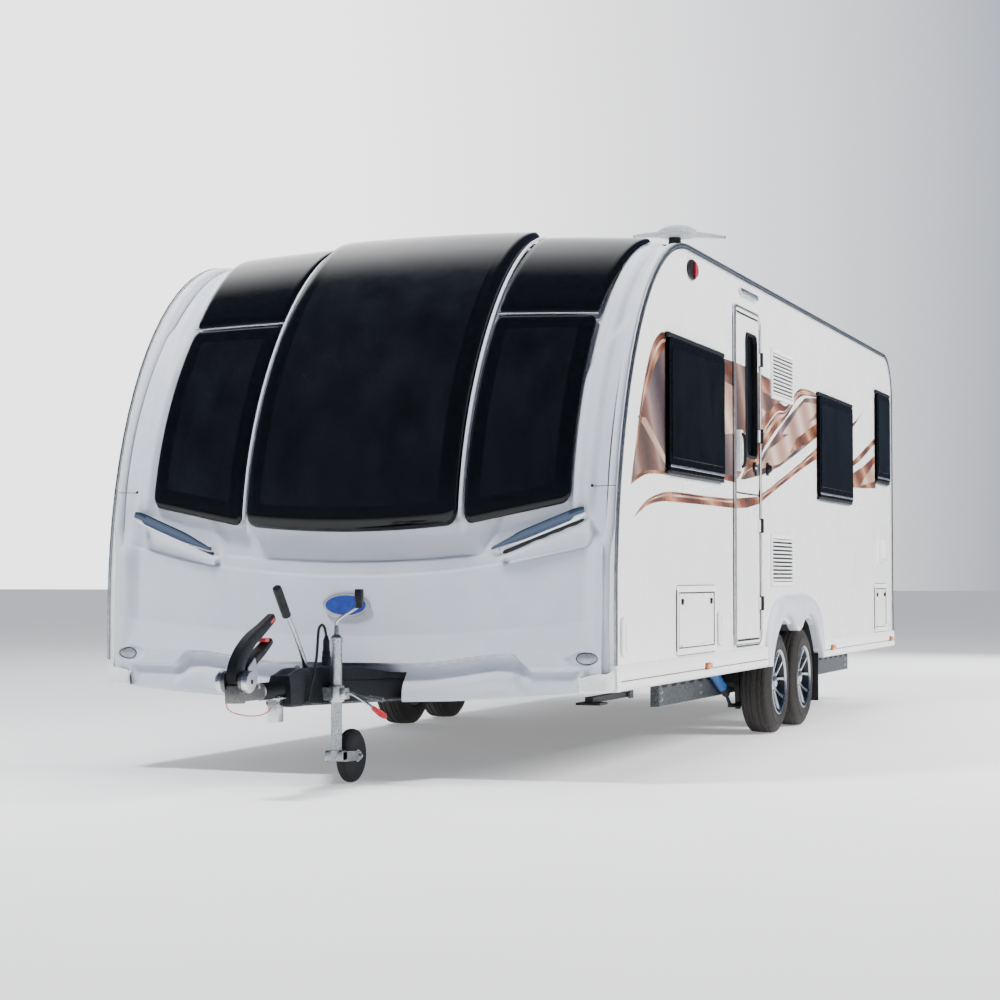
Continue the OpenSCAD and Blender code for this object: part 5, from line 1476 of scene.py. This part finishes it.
def camera_and_stage():
    s = bpy.context.scene.caravan_stage
    cam = bpy.data.cameras.new("view")
    cam.lens, cam.sensor_width = LENS_MM, 36
    ob = bpy.data.objects.new("view", cam)
    ob.location = at(*EYE)
    ob.rotation_euler = (math.radians(TILT_DEG), 0, math.radians(TURN_DEG))
    bpy.context.scene.collection.objects.link(ob)
    bpy.context.scene.camera = ob
    h = s.floor_size / 2
    me = bpy.data.meshes.new("studio_floor")
    me.from_pydata([(-h, -h, -0.002), (h, -h, -0.002), (h, h, -0.002), (-h, h, -0.002)], [], [(0, 1, 2, 3)])
    me.materials.append(mat(studio_floor))
    floor = bpy.data.objects.new("studio_floor", me)
    bpy.context.scene.collection.objects.link(floor)
    for name, place, target, size, power, colour in (
            ("key", (11, 1, 8), (1, 0, 1.2), (6, 6), s.key_energy, (1, 0.98, 0.95)),
            ("front_key", (-3, -5.6, 8.5), (0.2, -2.9, 0.9), (1.6, 1.6), s.key_energy * 0.36, (0.98, 0.99, 1)),
            ("top", (0, 1, 11), (0, 0, 1), (7, 7), s.key_energy * 0.25, (1, 1, 1)),
            ("rear_fill", (2, 12, 5), (0, 3, 1.2), (6, 5), s.key_energy * 0.3, (1, 1, 1))):
        li = bpy.data.lights.new(name, "AREA")
        li.shape, li.size, li.size_y, li.energy, li.color = "RECTANGLE", size[0], size[1], power, colour
        o = bpy.data.objects.new(name, li)
        o.location = place
        o.rotation_euler = (Vector(target) - Vector(place)).to_track_quat("-Z", "Y").to_euler()
        bpy.context.scene.collection.objects.link(o)
        o.visible_glossy = False
    world = bpy.data.worlds.new("studio")
    world.use_nodes = True
    tree = world.node_tree
    where = node(tree, "ShaderNodeTexCoord")
    axes = node(tree, "ShaderNodeSeparateXYZ", [("Vector", where.outputs["Generated"])])
    sky = node(tree, RAMP, [("Fac", axes.outputs["Z"])],
               [(0.0, "#5C6880"), (0.2, "#808EA6"), (0.5, "#4C5970"), (1.0, "#343F54")])
    side = node(tree, "ShaderNodeMath", [(0, axes.outputs["X"])], operation="MULTIPLY_ADD")
    side.inputs[1].default_value = side.inputs[2].default_value = 0.5
    behind = node(tree, RAMP, [("Fac", side.outputs[0])], [(0.30, 1.0), (0.47, 0.0)])
    toward = node(tree, RAMP, [("Fac", axes.outputs["Y"])], [(0.3, 0.0), (0.6, 1.0)])
    lobe = node(tree, "ShaderNodeMixRGB", [("Color1", behind.outputs["Color"]), ("Color2", toward.outputs["Color"])],
                blend_type="MULTIPLY", Fac=1.0)
    mix = node(tree, "ShaderNodeMixRGB", [("Fac", lobe.outputs[0]), ("Color1", sky.outputs["Color"])],
               Color2=(3.0, 3.0, 3.05, 1))
    back = tree.nodes["Background"]
    tree.links.new(mix.outputs[0], back.inputs["Color"])
    back.inputs["Strength"].default_value = 1.0
    bpy.context.scene.world = world


# ---- operators ----

class CARAVAN_OT_cords(bpy.types.Operator):
    """Build the tow lead with its plug and the breakaway cable"""
    bl_idname = "caravan.cords"
    bl_label = "Cords"

    def execute(self, context):
        cords()
        return {"FINISHED"}


class CARAVAN_OT_front(bpy.types.Operator):
    """Build the front moulding, its glazing, grab bars and badge"""
    bl_idname = "caravan.front"
    bl_label = "Front"

    def execute(self, context):
        s = context.scene.caravan_front
        front_skin(s)
        front_glazing(s)
        front_hardware()
        return {"FINISHED"}


class CARAVAN_OT_walls(bpy.types.Operator):
    """Finish the side walls with graphics, windows, door and locker trim, vents and lamps"""
    bl_idname = "caravan.walls"
    bl_label = "Walls"

    def execute(self, context):
        dress(wall_skin, "nearside_wall", "offside_wall", "door_upper", "door_lower", "front_locker_door",
              "rear_locker_door")
        dress(white_plastic, "door_frame", "wall_vents")
        dress(side_acrylic, "door_window")
        dress(anodised, "awning_rails")
        wall_graphics()
        side_glazing()
        edge_rails()
        door_details()
        wall_fittings()
        marker_lamps()
        return {"FINISHED"}


class CARAVAN_OT_shell(bpy.types.Operator):
    """Build the skirts, spats, roof and rear moulding"""
    bl_idname = "caravan.shell"
    bl_label = "Shell"

    def execute(self, context):
        skirts()
        spats()
        roof_pieces()
        rear_face()
        dress(floor_board, "floor_panel")
        return {"FINISHED"}


class CARAVAN_OT_running(bpy.types.Operator):
    """Build the road wheels and finish the chassis"""
    bl_idname = "caravan.running"
    bl_label = "Running gear"

    def execute(self, context):
        for sx, side in ((1, "near"), (-1, "off")):
            for d, row in zip(AXLES, ("front", "rear")):
                wheel(f"wheel_{row}_{side}", sx, d)
        # The chassis and drawbar take the darker zinc: painted shade for their place under the body
        dress(zinc_in_painted_shade, "chassis_frame", "drawbar")
        dress(black_steel, "axles", "steady_front_near", "steady_front_off", "steady_rear_near", "steady_rear_off")
        dress(rubber, "mudflaps")
        underside()
        return {"FINISHED"}


class CARAVAN_OT_hitch(bpy.types.Operator):
    """Build the drawbar moulding, coupling, levers and jockey wheel"""
    bl_idname = "caravan.hitch"
    bl_label = "Hitch"

    def execute(self, context):
        hitch_cover()
        coupling()
        jockey()
        return {"FINISHED"}


class CARAVAN_OT_stage(bpy.types.Operator):
    """Set up the camera, floor and studio lights"""
    bl_idname = "caravan.stage"
    bl_label = "Stage"

    def execute(self, context):
        camera_and_stage()
        return {"FINISHED"}


class CARAVAN_PT_panel(bpy.types.Panel):
    bl_label = "Caravan"
    bl_idname = "CARAVAN_PT_panel"
    bl_space_type = "VIEW_3D"
    bl_region_type = "UI"
    bl_category = "Caravan"

    def draw(self, context):
        for op in OPERATORS:
            self.layout.operator(op.bl_idname)
        for group in ("caravan_front", "caravan_running", "caravan_stage"):
            box = self.layout.box()
            data = getattr(context.scene, group)
            for key in data.__annotations__:
                box.prop(data, key)


GROUPS = {"caravan_front": CARAVAN_PG_front, "caravan_running": CARAVAN_PG_running,
          "caravan_stage": CARAVAN_PG_stage}
OPERATORS = [CARAVAN_OT_stage, CARAVAN_OT_cords, CARAVAN_OT_front, CARAVAN_OT_walls, CARAVAN_OT_shell,
             CARAVAN_OT_running, CARAVAN_OT_hitch]


def register():
    for cls in (*GROUPS.values(), *OPERATORS, CARAVAN_PT_panel):
        bpy.utils.register_class(cls)
    for name, cls in GROUPS.items():
        setattr(bpy.types.Scene, name, bpy.props.PointerProperty(type=cls))


def unregister():
    for name in GROUPS:
        delattr(bpy.types.Scene, name)
    for cls in (CARAVAN_PT_panel, *OPERATORS[::-1], *GROUPS.values()):
        bpy.utils.unregister_class(cls)


def main():
    register()
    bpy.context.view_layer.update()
    bpy.ops.caravan.stage()
    bpy.ops.caravan.cords()
    bpy.ops.caravan.front()
    bpy.ops.caravan.walls()
    bpy.ops.caravan.shell()
    bpy.ops.caravan.running()
    bpy.ops.caravan.hitch()


if __name__ == "__main__":
    main()
